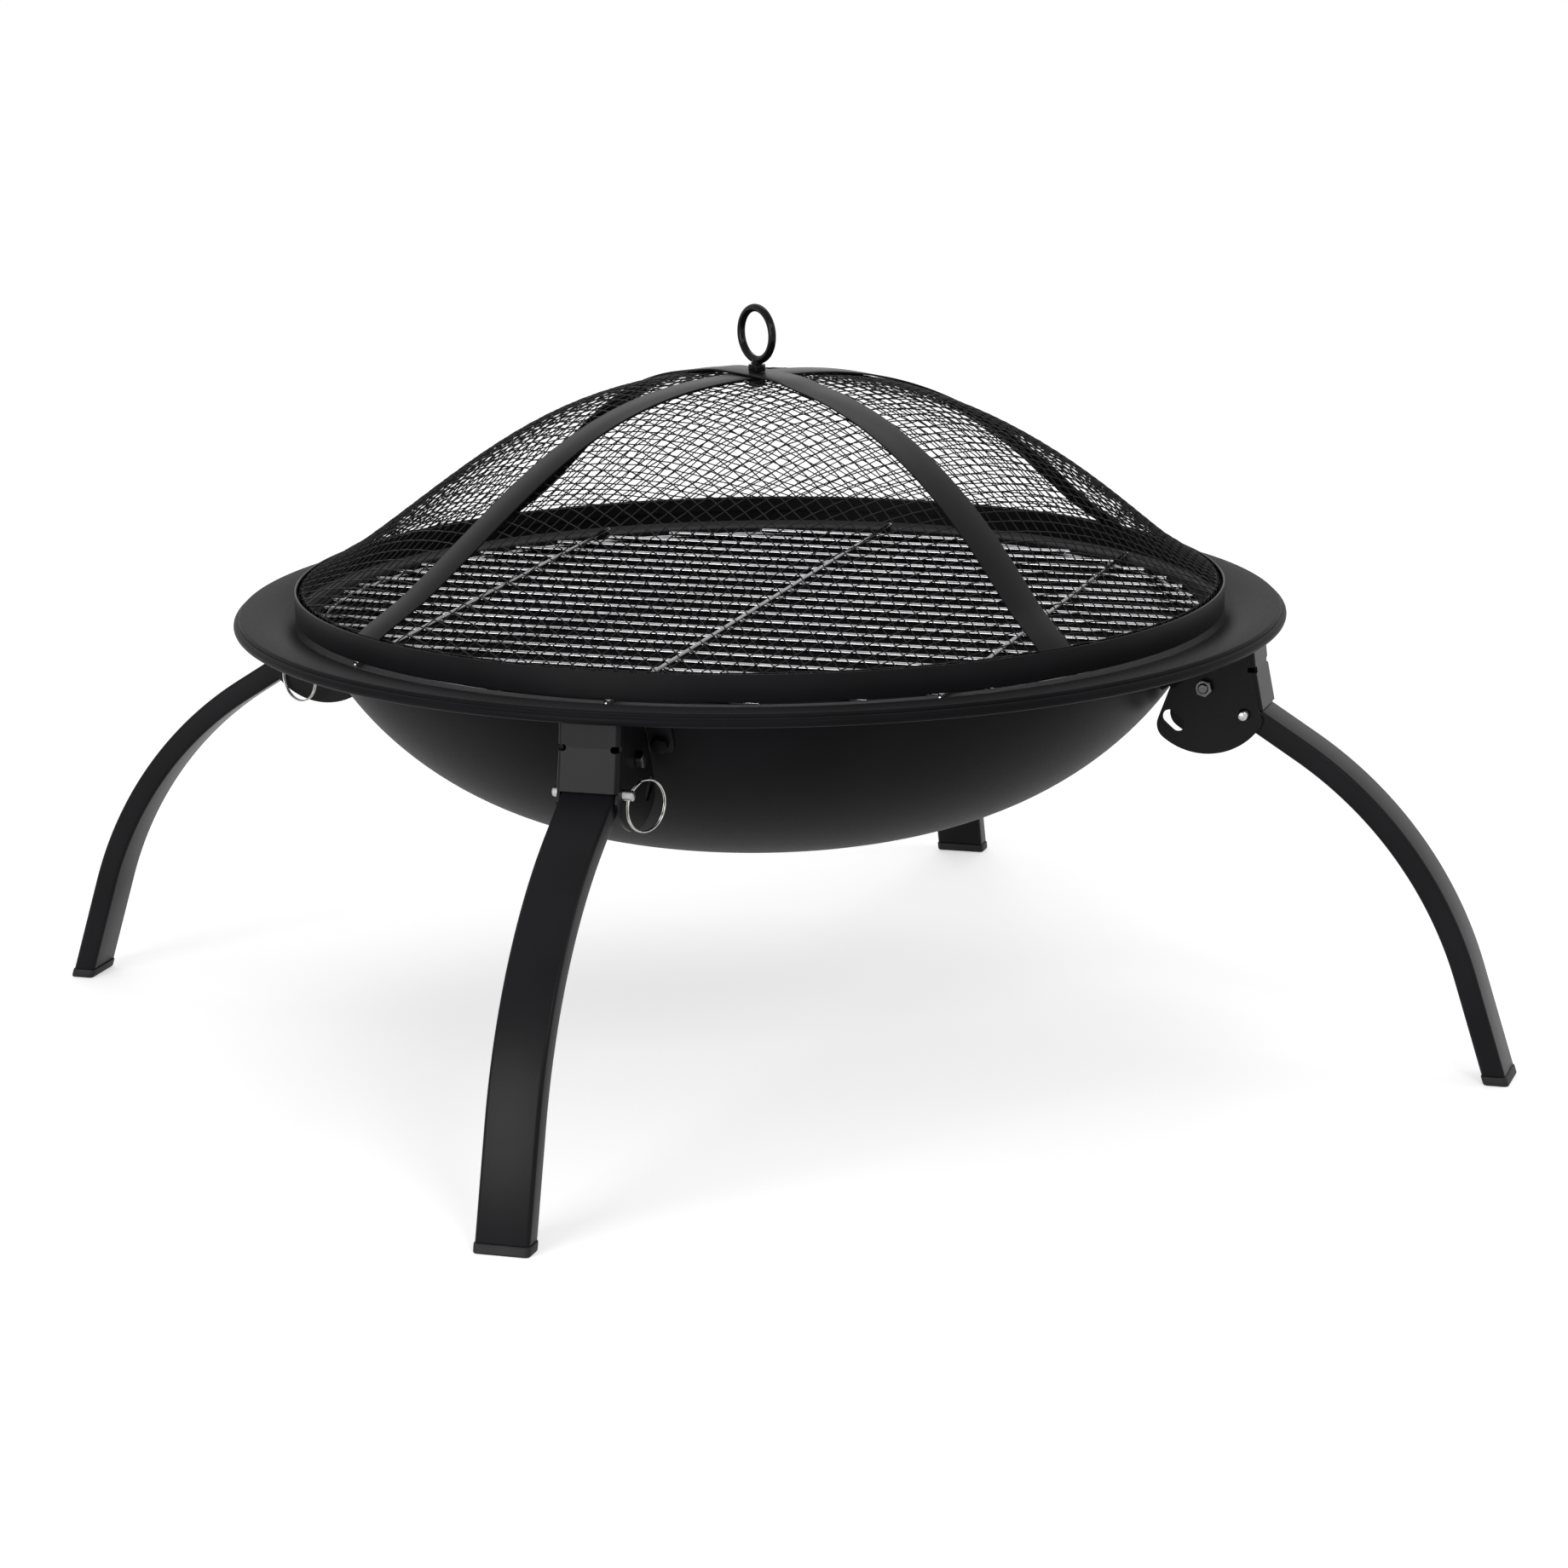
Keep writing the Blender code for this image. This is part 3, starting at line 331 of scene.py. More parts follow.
finishSpec = {
    "bowlPaint": {
        "dark": (0.0048, 0.0047, 0.0054), "light": (0.0076, 0.0074, 0.0086), "rough": (0.38, 0.50),
        "cloud": 14.0, "grain": 900.0, "depth": 0.00004, "bump": 0.35, "metal": 0.0, "shine": 0.035,
    },
    "satinPaint": {
        "dark": (0.0052, 0.0051, 0.0060), "light": (0.0082, 0.0080, 0.0094), "rough": (0.30, 0.38),
        "cloud": 22.0, "grain": 1100.0, "depth": 0.00003, "bump": 0.3, "metal": 0.0, "shine": 0.09,
    },
    "meshPaint": {
        "dark": (0.005, 0.005, 0.005), "light": (0.011, 0.011, 0.012), "rough": (0.4, 0.55),
        "cloud": 60.0, "grain": 1500.0, "depth": 0.00003, "bump": 0.4, "metal": 0.0, "shine": 0.12,
    },
    "glossPaint": {
        "dark": (0.003, 0.003, 0.003), "light": (0.006, 0.006, 0.006), "rough": (0.06, 0.13),
        "cloud": 90.0, "grain": 700.0, "depth": 0.00006, "bump": 0.35, "metal": 0.0, "shine": 0.12,
    },
    "chrome": {
        "dark": (0.28, 0.28, 0.29), "light": (0.42, 0.42, 0.43), "rough": (0.12, 0.24),
        "cloud": 120.0, "grain": 1400.0, "depth": 0.00002, "bump": 0.2, "metal": 1.0, "shine": 0.5,
    },
    "zinc": {
        "dark": (0.30, 0.30, 0.30), "light": (0.48, 0.48, 0.47), "rough": (0.22, 0.36),
        "cloud": 260.0, "grain": 2600.0, "depth": 0.00003, "bump": 0.3, "metal": 1.0, "shine": 0.5,
    },
    "darkZinc": {
        "dark": (0.06, 0.06, 0.06), "light": (0.14, 0.14, 0.135), "rough": (0.24, 0.40),
        "cloud": 260.0, "grain": 2600.0, "depth": 0.00003, "bump": 0.3, "metal": 1.0, "shine": 0.5,
    },
    "nickel": {
        "dark": (0.30, 0.295, 0.28), "light": (0.50, 0.49, 0.47), "rough": (0.10, 0.20),
        "cloud": 300.0, "grain": 2200.0, "depth": 0.00002, "bump": 0.2, "metal": 1.0, "shine": 0.5,
    },
    "capPlastic": {
        "dark": (0.010, 0.010, 0.010), "light": (0.017, 0.017, 0.018), "rough": (0.5, 0.65),
        "cloud": 80.0, "grain": 1600.0, "depth": 0.00005, "bump": 0.5, "metal": 0.0, "shine": 0.2,
    },
}
finishes = {}
for finishName, spec in finishSpec.items():
    finishes[finishName] = bpy.data.materials.new(finishName)
    paintNodes(finishes[finishName], spec)
print("finishes made:", len(finishes))


def seat(obj, finish, body, *nodes):  # finish, body and the CAD nodes it stands for
    obj.data.materials.clear()
    obj.data.materials.append(finishes[finish])
    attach(obj, body)
    if nodes:
        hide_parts(*nodes)
    return obj


def fourLegs(proto, stem, node, finish, body):  # one copy for each leg of a piece of the +X leg
    for i, leg in enumerate(legNames):
        obj = bpy.data.objects.new(f"{stem}_{leg}", proto.data.copy())
        obj.data.transform(Matrix.Rotation(i * math.pi / 2, 4, "Z"))
        scene.collection.objects.link(obj)
        seat(obj, finish, body.format(leg=leg), f"{node}_{leg}")
    bpy.data.objects.remove(proto, do_unlink=True)


# bowl
bowlSpec = {
    "sheet": 0.0010,
    "depth": 0.1148,
    "squareness": 2.8353,
    "fullness": 1.356,
    "wallPieces": 48,
    "steps": 240,
    "mouthRound": 0.0016,
    "crownWidth": 0.0230,
    "crownRise": 0.0045,
    "flange": 0.0303,
    "shoulder": 0.0015,
    "lipDrop": 0.0004,
    "bead": 0.0026,
    "ledgeSoft": 0.0008,  # the ledge runs softly into the crown over this
    "drillSides": 20,
}


def wallPoints():  # inside of the wall, from the middle up to the mouth
    points = []
    for i in range(bowlSpec["wallPieces"] + 1):
        r = mouthR * math.sin(0.5 * math.pi * i / bowlSpec["wallPieces"])
        fill = (1.0 - (r / mouthR) ** bowlSpec["squareness"]) ** (1.0 / bowlSpec["fullness"])
        points.append((r, mouthZ - bowlSpec["depth"] * fill))
    return points


def wallRadius(z, out):  # radius at height z, this far out from the wall's inside
    path = wallPoints()
    shifted = []
    for (r0, z0), (r1, z1) in zip(path, path[1:]):
        along = Vector((r1 - r0, z1 - z0)).normalized()
        shifted.append(((r0 + r1) / 2 + along.y * out, (z0 + z1) / 2 - along.x * out))
    return float(np.interp(z, [p[1] for p in shifted], [p[0] for p in shifted]))


def bowlProfile():
    points = wallPoints()
    lift = bowlSpec["mouthRound"]
    points += arc((mouthR + lift, mouthZ), lift, math.pi, math.pi / 2, 5)[1:]
    width, rise = bowlSpec["crownWidth"], bowlSpec["crownRise"]
    bend = (width ** 2 + rise ** 2) / (2 * rise)
    crownR = ledgeR + width
    lipR = ledgeR + bowlSpec["flange"]
    shoulder = bowlSpec["shoulder"]
    climb = math.asin(width / bend)
    fall = math.asin((lipR - shoulder - crownR) / bend)
    soft = bowlSpec["ledgeSoft"]
    points += [(ledgeR - soft * 2, ledgeZ), (ledgeR - soft, ledgeZ + soft * 0.05)]
    crown = arc((crownR, ledgeZ + rise - bend), bend, math.pi / 2 + climb, math.pi / 2 - fall, 18)
    points += crown[1:]
    edgeR, edgeZ = points[-1]
    points += arc((edgeR, edgeZ - shoulder), shoulder, math.pi / 2, 0.0, 8)[1:]
    lipZ = points[-1][1] - bowlSpec["lipDrop"]
    bead = bowlSpec["bead"]
    points += arc((lipR, lipZ - bead), bead, math.pi / 2, math.radians(-190), 16)
    return points


tabSpec = {
    "boltOut": 0.0062,  # from the cheek's outer face
    "boltUp": 0.0062,  # from the pivot
    "boltRadius": 0.0020,
    "play": 0.0004,
}


def tabBoltLine(side, start, end):  # two points of a tab bolt's axis, out from the wall's outside
    z = pivotZ + tabSpec["boltUp"]
    across = cheekOut + tabSpec["boltOut"]
    step = 0.002
    low, wall, high = (wallRadius(z + move, bowlSpec["sheet"]) for move in (-step, 0.0, step))
    lean = math.atan2(high - low, 2 * step)
    around = math.asin(across / wall)
    foot = Vector((wall * math.cos(around), across, z))
    level = math.cos(lean)
    ahead = Vector((level * math.cos(around), level * math.sin(around), -math.sin(lean)))
    mirror = Vector((1.0, side, 1.0))
    return (foot + ahead * start) * mirror, (foot + ahead * end) * mirror


def tabDrill(side, start, end):
    start, end = tabBoltLine(side, start, end)
    return rodData(start, end, tabSpec["boltRadius"] + tabSpec["play"], bowlSpec["drillSides"])


def makeBowl():
    bowl = addMesh("bowl", lathe(bowlProfile(), bowlSpec["steps"]))
    turnOut(bowl, weld=doubled)
    shell = bowl.modifiers.new("sheet", "SOLIDIFY")
    shell.thickness = bowlSpec["sheet"]
    shell.offset = -1.0
    shell.use_even_offset = True
    applied(bowl)
    drills = []
    for i in range(4):
        for side in (-1, 1):
            drill = tabDrill(side, -0.008, 0.008)
            drills.append(cutter(moved(drill, Matrix.Rotation(i * math.pi / 2, 4, "Z"))))
    combine(bowl, drills)
    turnOut(bowl)
    shade(bowl, 40.0)
    seat(bowl, "bowlPaint", "root", "fire_bowl")


makeBowl()
print("bowl made")

# folding legs and their caps
legSpec = {
    "width": 0.0280,
    "depth": 0.0120,
    "wall": 0.0012,
    "corner": 0.0020,
    "behindPivot": 0.0100,
    "straight": 0.060,
    "bendRadius": 0.211,
    "bend": math.radians(40.5),
    "bendPieces": 40,
    "edge": 0.0002,
    "capHeight": 0.0050,
    "capProud": 0.0006,
    "capRound": 0.0012,  # at the ground
    "capTopRound": 0.0004,
}


def toLeg(along, up):  # from the leg's own axes at the pivot to (r, z)
    cos, sin = math.cos(legSlope), math.sin(legSlope)
    return pivotR + along * cos + up * sin, pivotZ - along * sin + up * cos


def legRing(along, up, turn, section):  # one cross section, square to the leg
    ring = []
    for w, d in section:
        r, z = toLeg(along + d * math.sin(turn), up + d * math.cos(turn))
        ring.append(Vector((r, w, z)))
    return ring


def footRing(z, section):  # the leg's lower length cut level at height z
    bend, radius = legSpec["bend"], legSpec["bendRadius"]
    along = legSpec["straight"] + radius * math.sin(bend)
    up = radius * (math.cos(bend) - 1.0)
    ring = []
    down = legSlope + bend
    for point in legRing(along, up, bend, section):
        far = (point.z - z) / math.sin(down)
        ring.append(Vector((point.x + far * math.cos(down), point.y, z)))
    return ring


def legRings(section, start):
    rings = [legRing(start, 0.0, 0.0, section), legRing(legSpec["straight"] * 0.5, 0.0, 0.0, section)]
    radius = legSpec["bendRadius"]
    for i in range(legSpec["bendPieces"] + 1):
        turn = legSpec["bend"] * i / legSpec["bendPieces"]
        along = legSpec["straight"] + radius * math.sin(turn)
        rings.append(legRing(along, radius * (math.cos(turn) - 1.0), turn, section))
    rings.append(footRing(legSpec["capHeight"] + gap, section))
    return rings


def makeLegs():
    half, wide, wall = legSpec["depth"] / 2, legSpec["width"] / 2, legSpec["wall"]
    outside = boxSection(wide, half, legSpec["corner"], 5)
    inside = boxSection(wide - wall, half - wall, legSpec["corner"] - wall, 5)
    start = -legSpec["behindPivot"] + legSpec["corner"]
    outer = skin(legRings(outside, start), ends=False)
    inner = skin(legRings(inside, start), ends=False)
    points, faces = joined([outer, inner])
    count, ends = len(outside), len(outer[0])
    for base in (0, ends - count):  # the tube's two open ends
        for k in range(count):
            n = (k + 1) % count
            faces.append((base + k, base + n, ends + base + n, ends + base + k))
    leg = turnOut(addMesh("legTube", (points, faces)))
    pivotWay = rodData((pivotR, -wide * 2, pivotZ), (pivotR, wide * 2, pivotZ), pivotHole, 28)
    pivot = (0.0, 0.0)  # the pin's hole is open to the leg's upper face along the pin's arc
    way = math.asin((half + 2 * pinHole) / pinArm)
    path = arc(pivot, pinArm + pinHole, 0.0, way, 8) + arc(pivot, pinArm - pinHole, way, 0.0, 8)
    path += arc((pinArm, 0.0), pinHole, math.pi, math.tau, 12)[1:-1]
    combine(leg, [cutter(pivotWay), cutter(prism([toLeg(a, u) for a, u in path], wide * 2))])
    softEdges(turnOut(leg), legSpec["edge"], 50.0)
    fourLegs(shade(leg, 40.0), "legTube", "leg_tube", "satinPaint", "leg_{leg}")


def makeFootCaps():
    high, lowRound, topRound = legSpec["capHeight"], legSpec["capRound"], legSpec["capTopRound"]
    rings = []
    for z in (0.0, 0.0002, 0.0005, 0.0009, 0.0014, high - topRound, high - 0.0001, high):
        low = lowRound - math.sqrt(max(0.0, lowRound ** 2 - max(0.0, lowRound - z) ** 2))
        top = topRound - math.sqrt(max(0.0, topRound ** 2 - max(0.0, z - high + topRound) ** 2))
        proud = legSpec["capProud"] - low - top
        section = boxSection(legSpec["width"] / 2 + proud, legSpec["depth"] / 2 + proud,
                             legSpec["corner"] + proud, 5)
        rings.append(footRing(z, section))
    cap = turnOut(addMesh("footCap", skin(rings)))
    fourLegs(shade(cap, 50.0), "footCap", "foot_cap", "capPlastic", "leg_{leg}")


makeLegs()
makeFootCaps()
print("legs and caps made")

# leg brackets, each one folded sheet
bracketSpec = {
    "sheet": 0.0016,
    "fold": 0.0014,  # middle of the sheet at the folds
    "webTopOut": 0.0253,
    "webNotchOut": 0.0268,
    "notchUp": 0.0102,
    "webSplay": math.radians(10.5),
    "margin": 0.0107,  # cheek past the pin and the slot
    "corner": 0.0088,
    "cornerTurn": math.radians(3.0),
    "tabWidth": 0.0130,
    "tabHigh": 0.0187,
    "notchHalf": 0.0019,
    "notchIn": 0.0046,  # reach of the notch from the cheek's outer face
    "slotHalf": 0.0030,
    "slotRadius": 0.0037,
    "edge": 0.0002,
}
bracketTop = ledgeZ - bowlSpec["sheet"] - 0.0012


def webLine():  # outer face of the web: top, notch and lower edge
    spec = bracketSpec
    notch = (pivotR + spec["webNotchOut"], pivotZ + spec["notchUp"])
    legFace = toLeg(0.0, legSpec["depth"] / 2 + gap)
    slope, splay = math.tan(legSlope), math.tan(spec["webSplay"])
    innerR = notch[0] - spec["sheet"] / math.cos(spec["webSplay"])
    drop = (notch[1] - legFace[1] + slope * (innerR - legFace[0])) / (1.0 - slope * splay)
    return [(pivotR + spec["webTopOut"], bracketTop), notch, (notch[0] + drop * splay, notch[1] - drop)]


def slotOutline():  # long hole that takes the pin when the leg is folded
    along = legSlope + fold
    middle = (pivotR + pinArm * math.cos(along), pivotZ - pinArm * math.sin(along))
    reach = (math.sin(along) * bracketSpec["slotHalf"], math.cos(along) * bracketSpec["slotHalf"])
    turn = math.atan2(reach[1], reach[0])
    outline = []
    for sign, start in ((1, -1), (-1, 1)):  # the half circles at its two ends
        centre = (middle[0] + sign * reach[0], middle[1] + sign * reach[1])
        outline += arc(centre, bracketSpec["slotRadius"], turn + start * math.pi / 2,
                       turn + (start + 2) * math.pi / 2, 12)
    return outline


def cheekEdge(tabRows):  # the cheek below the web, round to the tab, then up to the top
    spec = bracketSpec
    pivot = (pivotR, pivotZ)
    reach = pinArm + spec["margin"]
    pinWay = -legSlope - spec["cornerTurn"]
    slotWay = -legSlope - fold + spec["cornerTurn"]
    pinCorner = arc(pivot, reach - spec["corner"], pinWay, pinWay, 1)[0]
    slotCorner = arc(pivot, reach - spec["corner"], slotWay, slotWay, 1)[0]
    away = Vector(tabRows[0]) - Vector(slotCorner)
    leave = math.atan2(away.y, away.x) + math.acos(min(1.0, spec["corner"] / away.length))
    edge = arc(pinCorner, spec["corner"], 0.0, pinWay, 8)
    edge += arc(pivot, reach, pinWay, slotWay, 30)[1:]
    edge += arc(slotCorner, spec["corner"], slotWay, leave - math.tau, 14)[1:]
    edge += tabRows
    edge.append((tabRows[-1][0] + bracketTop - tabRows[-1][1], bracketTop))
    return edge


def foldRow(bm, side, x, y, z, start, end):  # one level of a fold round (x, y)
    turned = arc((x, y), bracketSpec["fold"], start, end, 6)
    return [bm.verts.new((r, side * across, z)) for r, across in turned]


def bracketSheet():  # the middle of the folded sheet, to be thickened
    spec = bracketSpec
    mid = (cheekIn + cheekOut) / 2
    bend = spec["fold"]
    out = bowlSpec["sheet"] + gap + spec["sheet"] / 2
    bm = bmesh.new()
    webRows = [(r - spec["sheet"] / 2, z) for r, z in webLine()]
    webRows.insert(1, ((webRows[0][0] + webRows[1][0]) / 2, (webRows[0][1] + webRows[1][1]) / 2))
    webRows.insert(3, ((webRows[2][0] + webRows[3][0]) / 2, (webRows[2][1] + webRows[3][1]) / 2))
    tabHeights = [pivotZ + spec["tabHigh"] * i / 6 for i in range(7)]
    tabEnd = cheekOut + spec["tabWidth"]
    trims = (0.0018, 0.0004, 0.0, 0.0, 0.0, 0.0004, 0.0018)  # rounded tab corners
    webSides = {}
    for side in (-1, 1):
        folds = []
        for r, z in webRows:  # from cheek to web round the fold
            folds.append(foldRow(bm, side, r - bend, mid - bend, z, math.pi / 2, 0.0))
        webSides[side] = [row[-1] for row in folds]
        tabs = []
        for z, trim in zip(tabHeights, trims):  # from cheek to tab round the other fold
            wall = wallRadius(z, out)
            near = math.sqrt(wall ** 2 - (mid + bend) ** 2)
            row = foldRow(bm, side, near + bend, mid + bend, z, -math.pi / 2, -math.pi)
            for k in range(1, 5):
                y = mid + bend + (tabEnd - trim - mid - bend) * k / 4
                row.append(bm.verts.new((math.sqrt(wall ** 2 - y ** 2), side * y, z)))
            tabs.append(row)
        for rows in (folds, tabs):
            for one, two in zip(rows, rows[1:]):
                for k in range(len(one) - 1):
                    bm.faces.new((one[k], one[k + 1], two[k + 1], two[k]))
        tabRows = [(row[0].co.x, row[0].co.z) for row in tabs]
        edge = cheekEdge(tabRows)
        loop = [row[0] for row in folds]
        for r, z in edge[:-len(tabRows) - 1]:
            loop.append(bm.verts.new((r, side * mid, z)))
        loop += [row[0] for row in tabs]
        loop.append(bm.verts.new((edge[-1][0], side * mid, edge[-1][1])))
        pin = toLeg(pinArm, 0.0)
        holes = [arc((pivotR, pivotZ), pivotHole, 0.0, math.tau, 28)[:-1],
                 arc(pin, pinHole, 0.0, math.tau, 28)[:-1], slotOutline()]
        loops = [loop] + [[bm.verts.new((r, side * mid, z)) for r, z in hole] for hole in holes]
        edges = []
        for ring in loops:
            for a, b in zip(ring, ring[1:] + ring[:1]):
                edges.append(bm.edges.get((a, b)) or bm.edges.new((a, b)))
        bmesh.ops.triangle_fill(bm, use_beauty=True, edges=edges)
    left, right = webSides[-1], webSides[1]
    for k in range(len(left) - 1):
        bm.faces.new((left[k], right[k], right[k + 1], left[k + 1]))
    bmesh.ops.recalc_face_normals(bm, faces=bm.faces)
    mesh = bpy.data.meshes.new("bracket")
    bm.to_mesh(mesh)
    bm.free()
    obj = bpy.data.objects.new("bracket", mesh)
    scene.collection.objects.link(obj)
    return obj


def notchCutter(side, r, z):  # a round-ended notch at the fold, open to the cheek's side
    half = bracketSpec["notchHalf"]
    inner = cheekOut - bracketSpec["notchIn"] + half
    outline = [(inner + half * math.cos(t), half * math.sin(t) * 0.9)
               for t in (math.pi / 2 + math.pi * i / 12 for i in range(13))]
    outline += [(cheekOut - 0.0006, -half * 0.8), (cheekOut + 0.001, -half * 0.5),
                (cheekOut + 0.001, half * 0.5), (cheekOut - 0.0006, half * 0.8)]
    stations = [(Vector((r + x, 0.0, z)), Vector((0.0, side, 0.0)), Vector((0.0, 0.0, 1.0)))
                for x in (-0.0042, 0.004)]
    return sweep(stations, outline)


def makeBrackets():
    bracket = bracketSheet()
    sheet = bracket.modifiers.new("sheet", "SOLIDIFY")
    sheet.thickness = bracketSpec["sheet"]
    sheet.offset = 0.0
    sheet.use_even_offset = True
    applied(bracket)
    notchR, notchZ = webLine()[1]
    cutters = []
    for side in (-1, 1):
        cutters.append(cutter(notchCutter(side, notchR, notchZ)))
        cutters.append(cutter(tabDrill(side, -0.001, 0.006)))
    combine(bracket, cutters)
    softEdges(turnOut(bracket), bracketSpec["edge"], 45.0)
    fourLegs(shade(bracket, 35.0, weighed=True), "legBracket", "leg_bracket", "satinPaint", "root")


makeBrackets()
print("brackets made")

# hexagon bolts and nuts
fastenerSpec = {
    "flats": 0.0080,
    "head": 0.0034,
    "nut": 0.0038,
    "pivotRadius": 0.0025,
    "pastNut": 0.0012,
    "boreEdge": 0.0003,
    "threadPitch": 0.0007,
    "threadDepth": 0.00025,
    "threadSides": 20,
}


def hexBody(flats, height, bore, bothEnds=True):  # chamfered hexagon standing on +Z
    corner = flats / math.sqrt(3.0)
    slant = (corner - flats / 2) * 0.9
    drop = slant * math.tan(math.radians(32))
    edge = fastenerSpec["boreEdge"]
    innerR = corner - slant * 1.3
    profile = [(corner, drop if bothEnds else 0.0), (corner, height - drop), (innerR, height)]
    if bore:
        profile += [(bore + edge, height), (bore, height - edge), (bore, edge), (bore + edge, 0.0)]
    else:
        profile += [(0.0, height), (0.0, 0.0)]
    if bothEnds:
        profile.append((innerR, 0.0))
    barrel = turnOut(addMesh("hexBody", lathe(profile, 48, closed=bool(bore))), weld=doubled)
    if not bore:
        bm = bmesh.new()
        bm.from_mesh(barrel.data)
        bmesh.ops.holes_fill(bm, edges=bm.edges, sides=0)
        bm.to_mesh(barrel.data)
        bm.free()
    block = rodData((0, 0, -0.001), (0, 0, height + 0.001), corner * 1.0001, 6)
    combine(barrel, [cutter(block)], "INTERSECT")
    points = [vertex.co.copy() for vertex in barrel.data.vertices]
    faces = [tuple(face.vertices) for face in barrel.data.polygons]
    bpy.data.objects.remove(barrel, do_unlink=True)
    return points, faces


def threadData(radius, low, high):  # a stud with a thread's grooves
    pitch, deep = fastenerSpec["threadPitch"], fastenerSpec["threadDepth"]
    profile = [(0.0, low), (radius - deep * 1.5, low)]
    count = max(1, int((high - low - 0.0004) / pitch))
    for i in range(count):
        z = low + 0.0002 + i * pitch
        profile += [(radius - deep, z), (radius, z + pitch * 0.5)]
    profile += [(radius - deep, high), (0.0, high)]
    return lathe(profile, fastenerSpec["threadSides"])


def headAndNut(radius):
    head = hexBody(fastenerSpec["flats"], fastenerSpec["head"], 0.0, bothEnds=False)
    return head, hexBody(fastenerSpec["flats"], fastenerSpec["nut"], radius + 0.0001)


def fastener(name, parts, matrix, stem, node, finish):
    piece = turnOut(addMesh(name, moved(joined(parts), matrix)), weld=doubled)
    fourLegs(shade(piece, 30.0), stem, node, finish, "root")


def makeTabFasteners():
    sheet, thick = bowlSpec["sheet"], bracketSpec["sheet"]
    head, nut = headAndNut(tabSpec["boltRadius"])
    for side, mark in ((-1, "a"), (1, "b")):
        onTab, far = tabBoltLine(side, gap + thick + gap, 0.02)
        ahead = far - onTab
        length = gap + thick + gap + sheet + fastenerSpec["nut"] + 3 * gap + fastenerSpec["pastNut"]
        stud = threadData(tabSpec["boltRadius"], -length, 0.001)
        fastener("bolt", [head, stud], facing(onTab, ahead), f"tabBolt{mark.upper()}",
                 f"bracket_bolt_{mark}", "bowlPaint")
        inside = tabBoltLine(side, -sheet - 2 * gap, 0.02)[0]
        fastener("nut", [nut], facing(inside, -ahead), f"tabNut{mark.upper()}",
                 f"bracket_nut_{mark}", "bowlPaint")


def makePivots():
    head, nut = headAndNut(fastenerSpec["pivotRadius"])
    outside = cheekOut + gap
    length = 2 * outside + fastenerSpec["nut"] + fastenerSpec["pastNut"]
    stud = threadData(fastenerSpec["pivotRadius"], -length, 0.001)
    for side, name, node, parts in ((1, "pivotBolt", "pivot_bolt", [head, stud]),
                                    (-1, "pivotNut", "pivot_nut", [nut])):
        place = facing((pivotR, side * outside, pivotZ), (0, side, 0))
        fastener(name, parts, place, name, node, "darkZinc")


makeTabFasteners()
makePivots()
print("fasteners made")

# lock pins and their split rings
pinSpec = {
    "radius": 0.0027,
    "tail": 0.0048,
    "head": 0.0054,
    "chamfer": 0.0008,
    "crossOut": 0.0031,
    "crossRadius": 0.0015,
    "ringRadius": 0.0130,
    "ringWire": 0.00048,
    "ringHeading": math.radians(25.5),
    "ringHang": math.radians(32.7),
    "ringStep": 2.2,  # where on the ring the wire steps over, in radians
    "ringPieces": 140,
    "stepWidth": math.radians(24),
    "edge": 0.0002,
}


def makeLockPins():
    spec = pinSpec
    pinR, pinZ = toLeg(pinArm, 0.0)
    low, high = -cheekOut - spec["tail"], cheekOut + spec["head"]
    radius, cut = spec["radius"], spec["chamfer"]
    profile = [(0.0, low), (radius - cut, low), (radius - cut * 0.4, low + cut * 0.35),
               (radius, low + cut), (radius, high - cut), (radius - cut * 0.4, high - cut * 0.35),
               (radius - cut, high), (0.0, high)]
    pin = addMesh("lockPin", moved(lathe(profile, 32), facing((pinR, 0.0, pinZ), (0, 1, 0))))
    turnOut(pin, weld=doubled)
    hole = Vector((pinR, cheekOut + spec["crossOut"], pinZ))
    flat = Vector((-math.cos(spec["ringHeading"]), math.sin(spec["ringHeading"]), 0.0))
    hang = flat * math.cos(spec["ringHang"]) - Vector((0.0, 0.0, math.sin(spec["ringHang"])))
    through = flat * math.sin(spec["ringHang"]) + Vector((0.0, 0.0, math.cos(spec["ringHang"])))
    cross = rodData(hole - through * 0.008, hole + through * 0.008, spec["crossRadius"], 20)
    combine(pin, [cutter(cross)])
    softEdges(turnOut(pin), spec["edge"], 50.0)
    fourLegs(shade(pin, 40.0), "lockPin", "lock_pin", "zinc", "pin_{leg}")
    normal = through.cross(hang)
    centre = hole + hang * spec["ringRadius"]
    path = []
    wide = spec["stepWidth"]
    for k in range(spec["ringPieces"] + 1):  # two flat turns with a step between them
        turn = wide * 0.55 + (2 * math.tau - wide * 1.1) * k / spec["ringPieces"]
        rise = min(1.0, max(0.0, (turn - math.tau + wide / 2) / wide))
        aside = (rise * rise * (3.0 - 2.0 * rise) * 2.0 - 1.0) * (spec["ringWire"] + 0.00002)
        spot = hang * math.cos(turn + spec["ringStep"]) + through * math.sin(turn + spec["ringStep"])
        path.append(centre + spot * spec["ringRadius"] + normal * aside)
    stations = alongPath(path, normal)
    tips = []  # the wire narrows at its two ends
    for (origin, across, up), beside in ((stations[0], stations[1]), (stations[-1], stations[-2])):
        tips.append((origin + (origin - beside[0]) * 0.25, across * 0.5, up * 0.5))
    stations = [tips[0], *stations, tips[1]]
    ring = turnOut(addMesh("pullRing", sweep(stations, roundSection(spec["ringWire"], 10))))
    fourLegs(shade(ring, 60.0), "pullRing", "pull_ring", "nickel", "ring_{leg}")


makeLockPins()
print("lock pins and rings made")

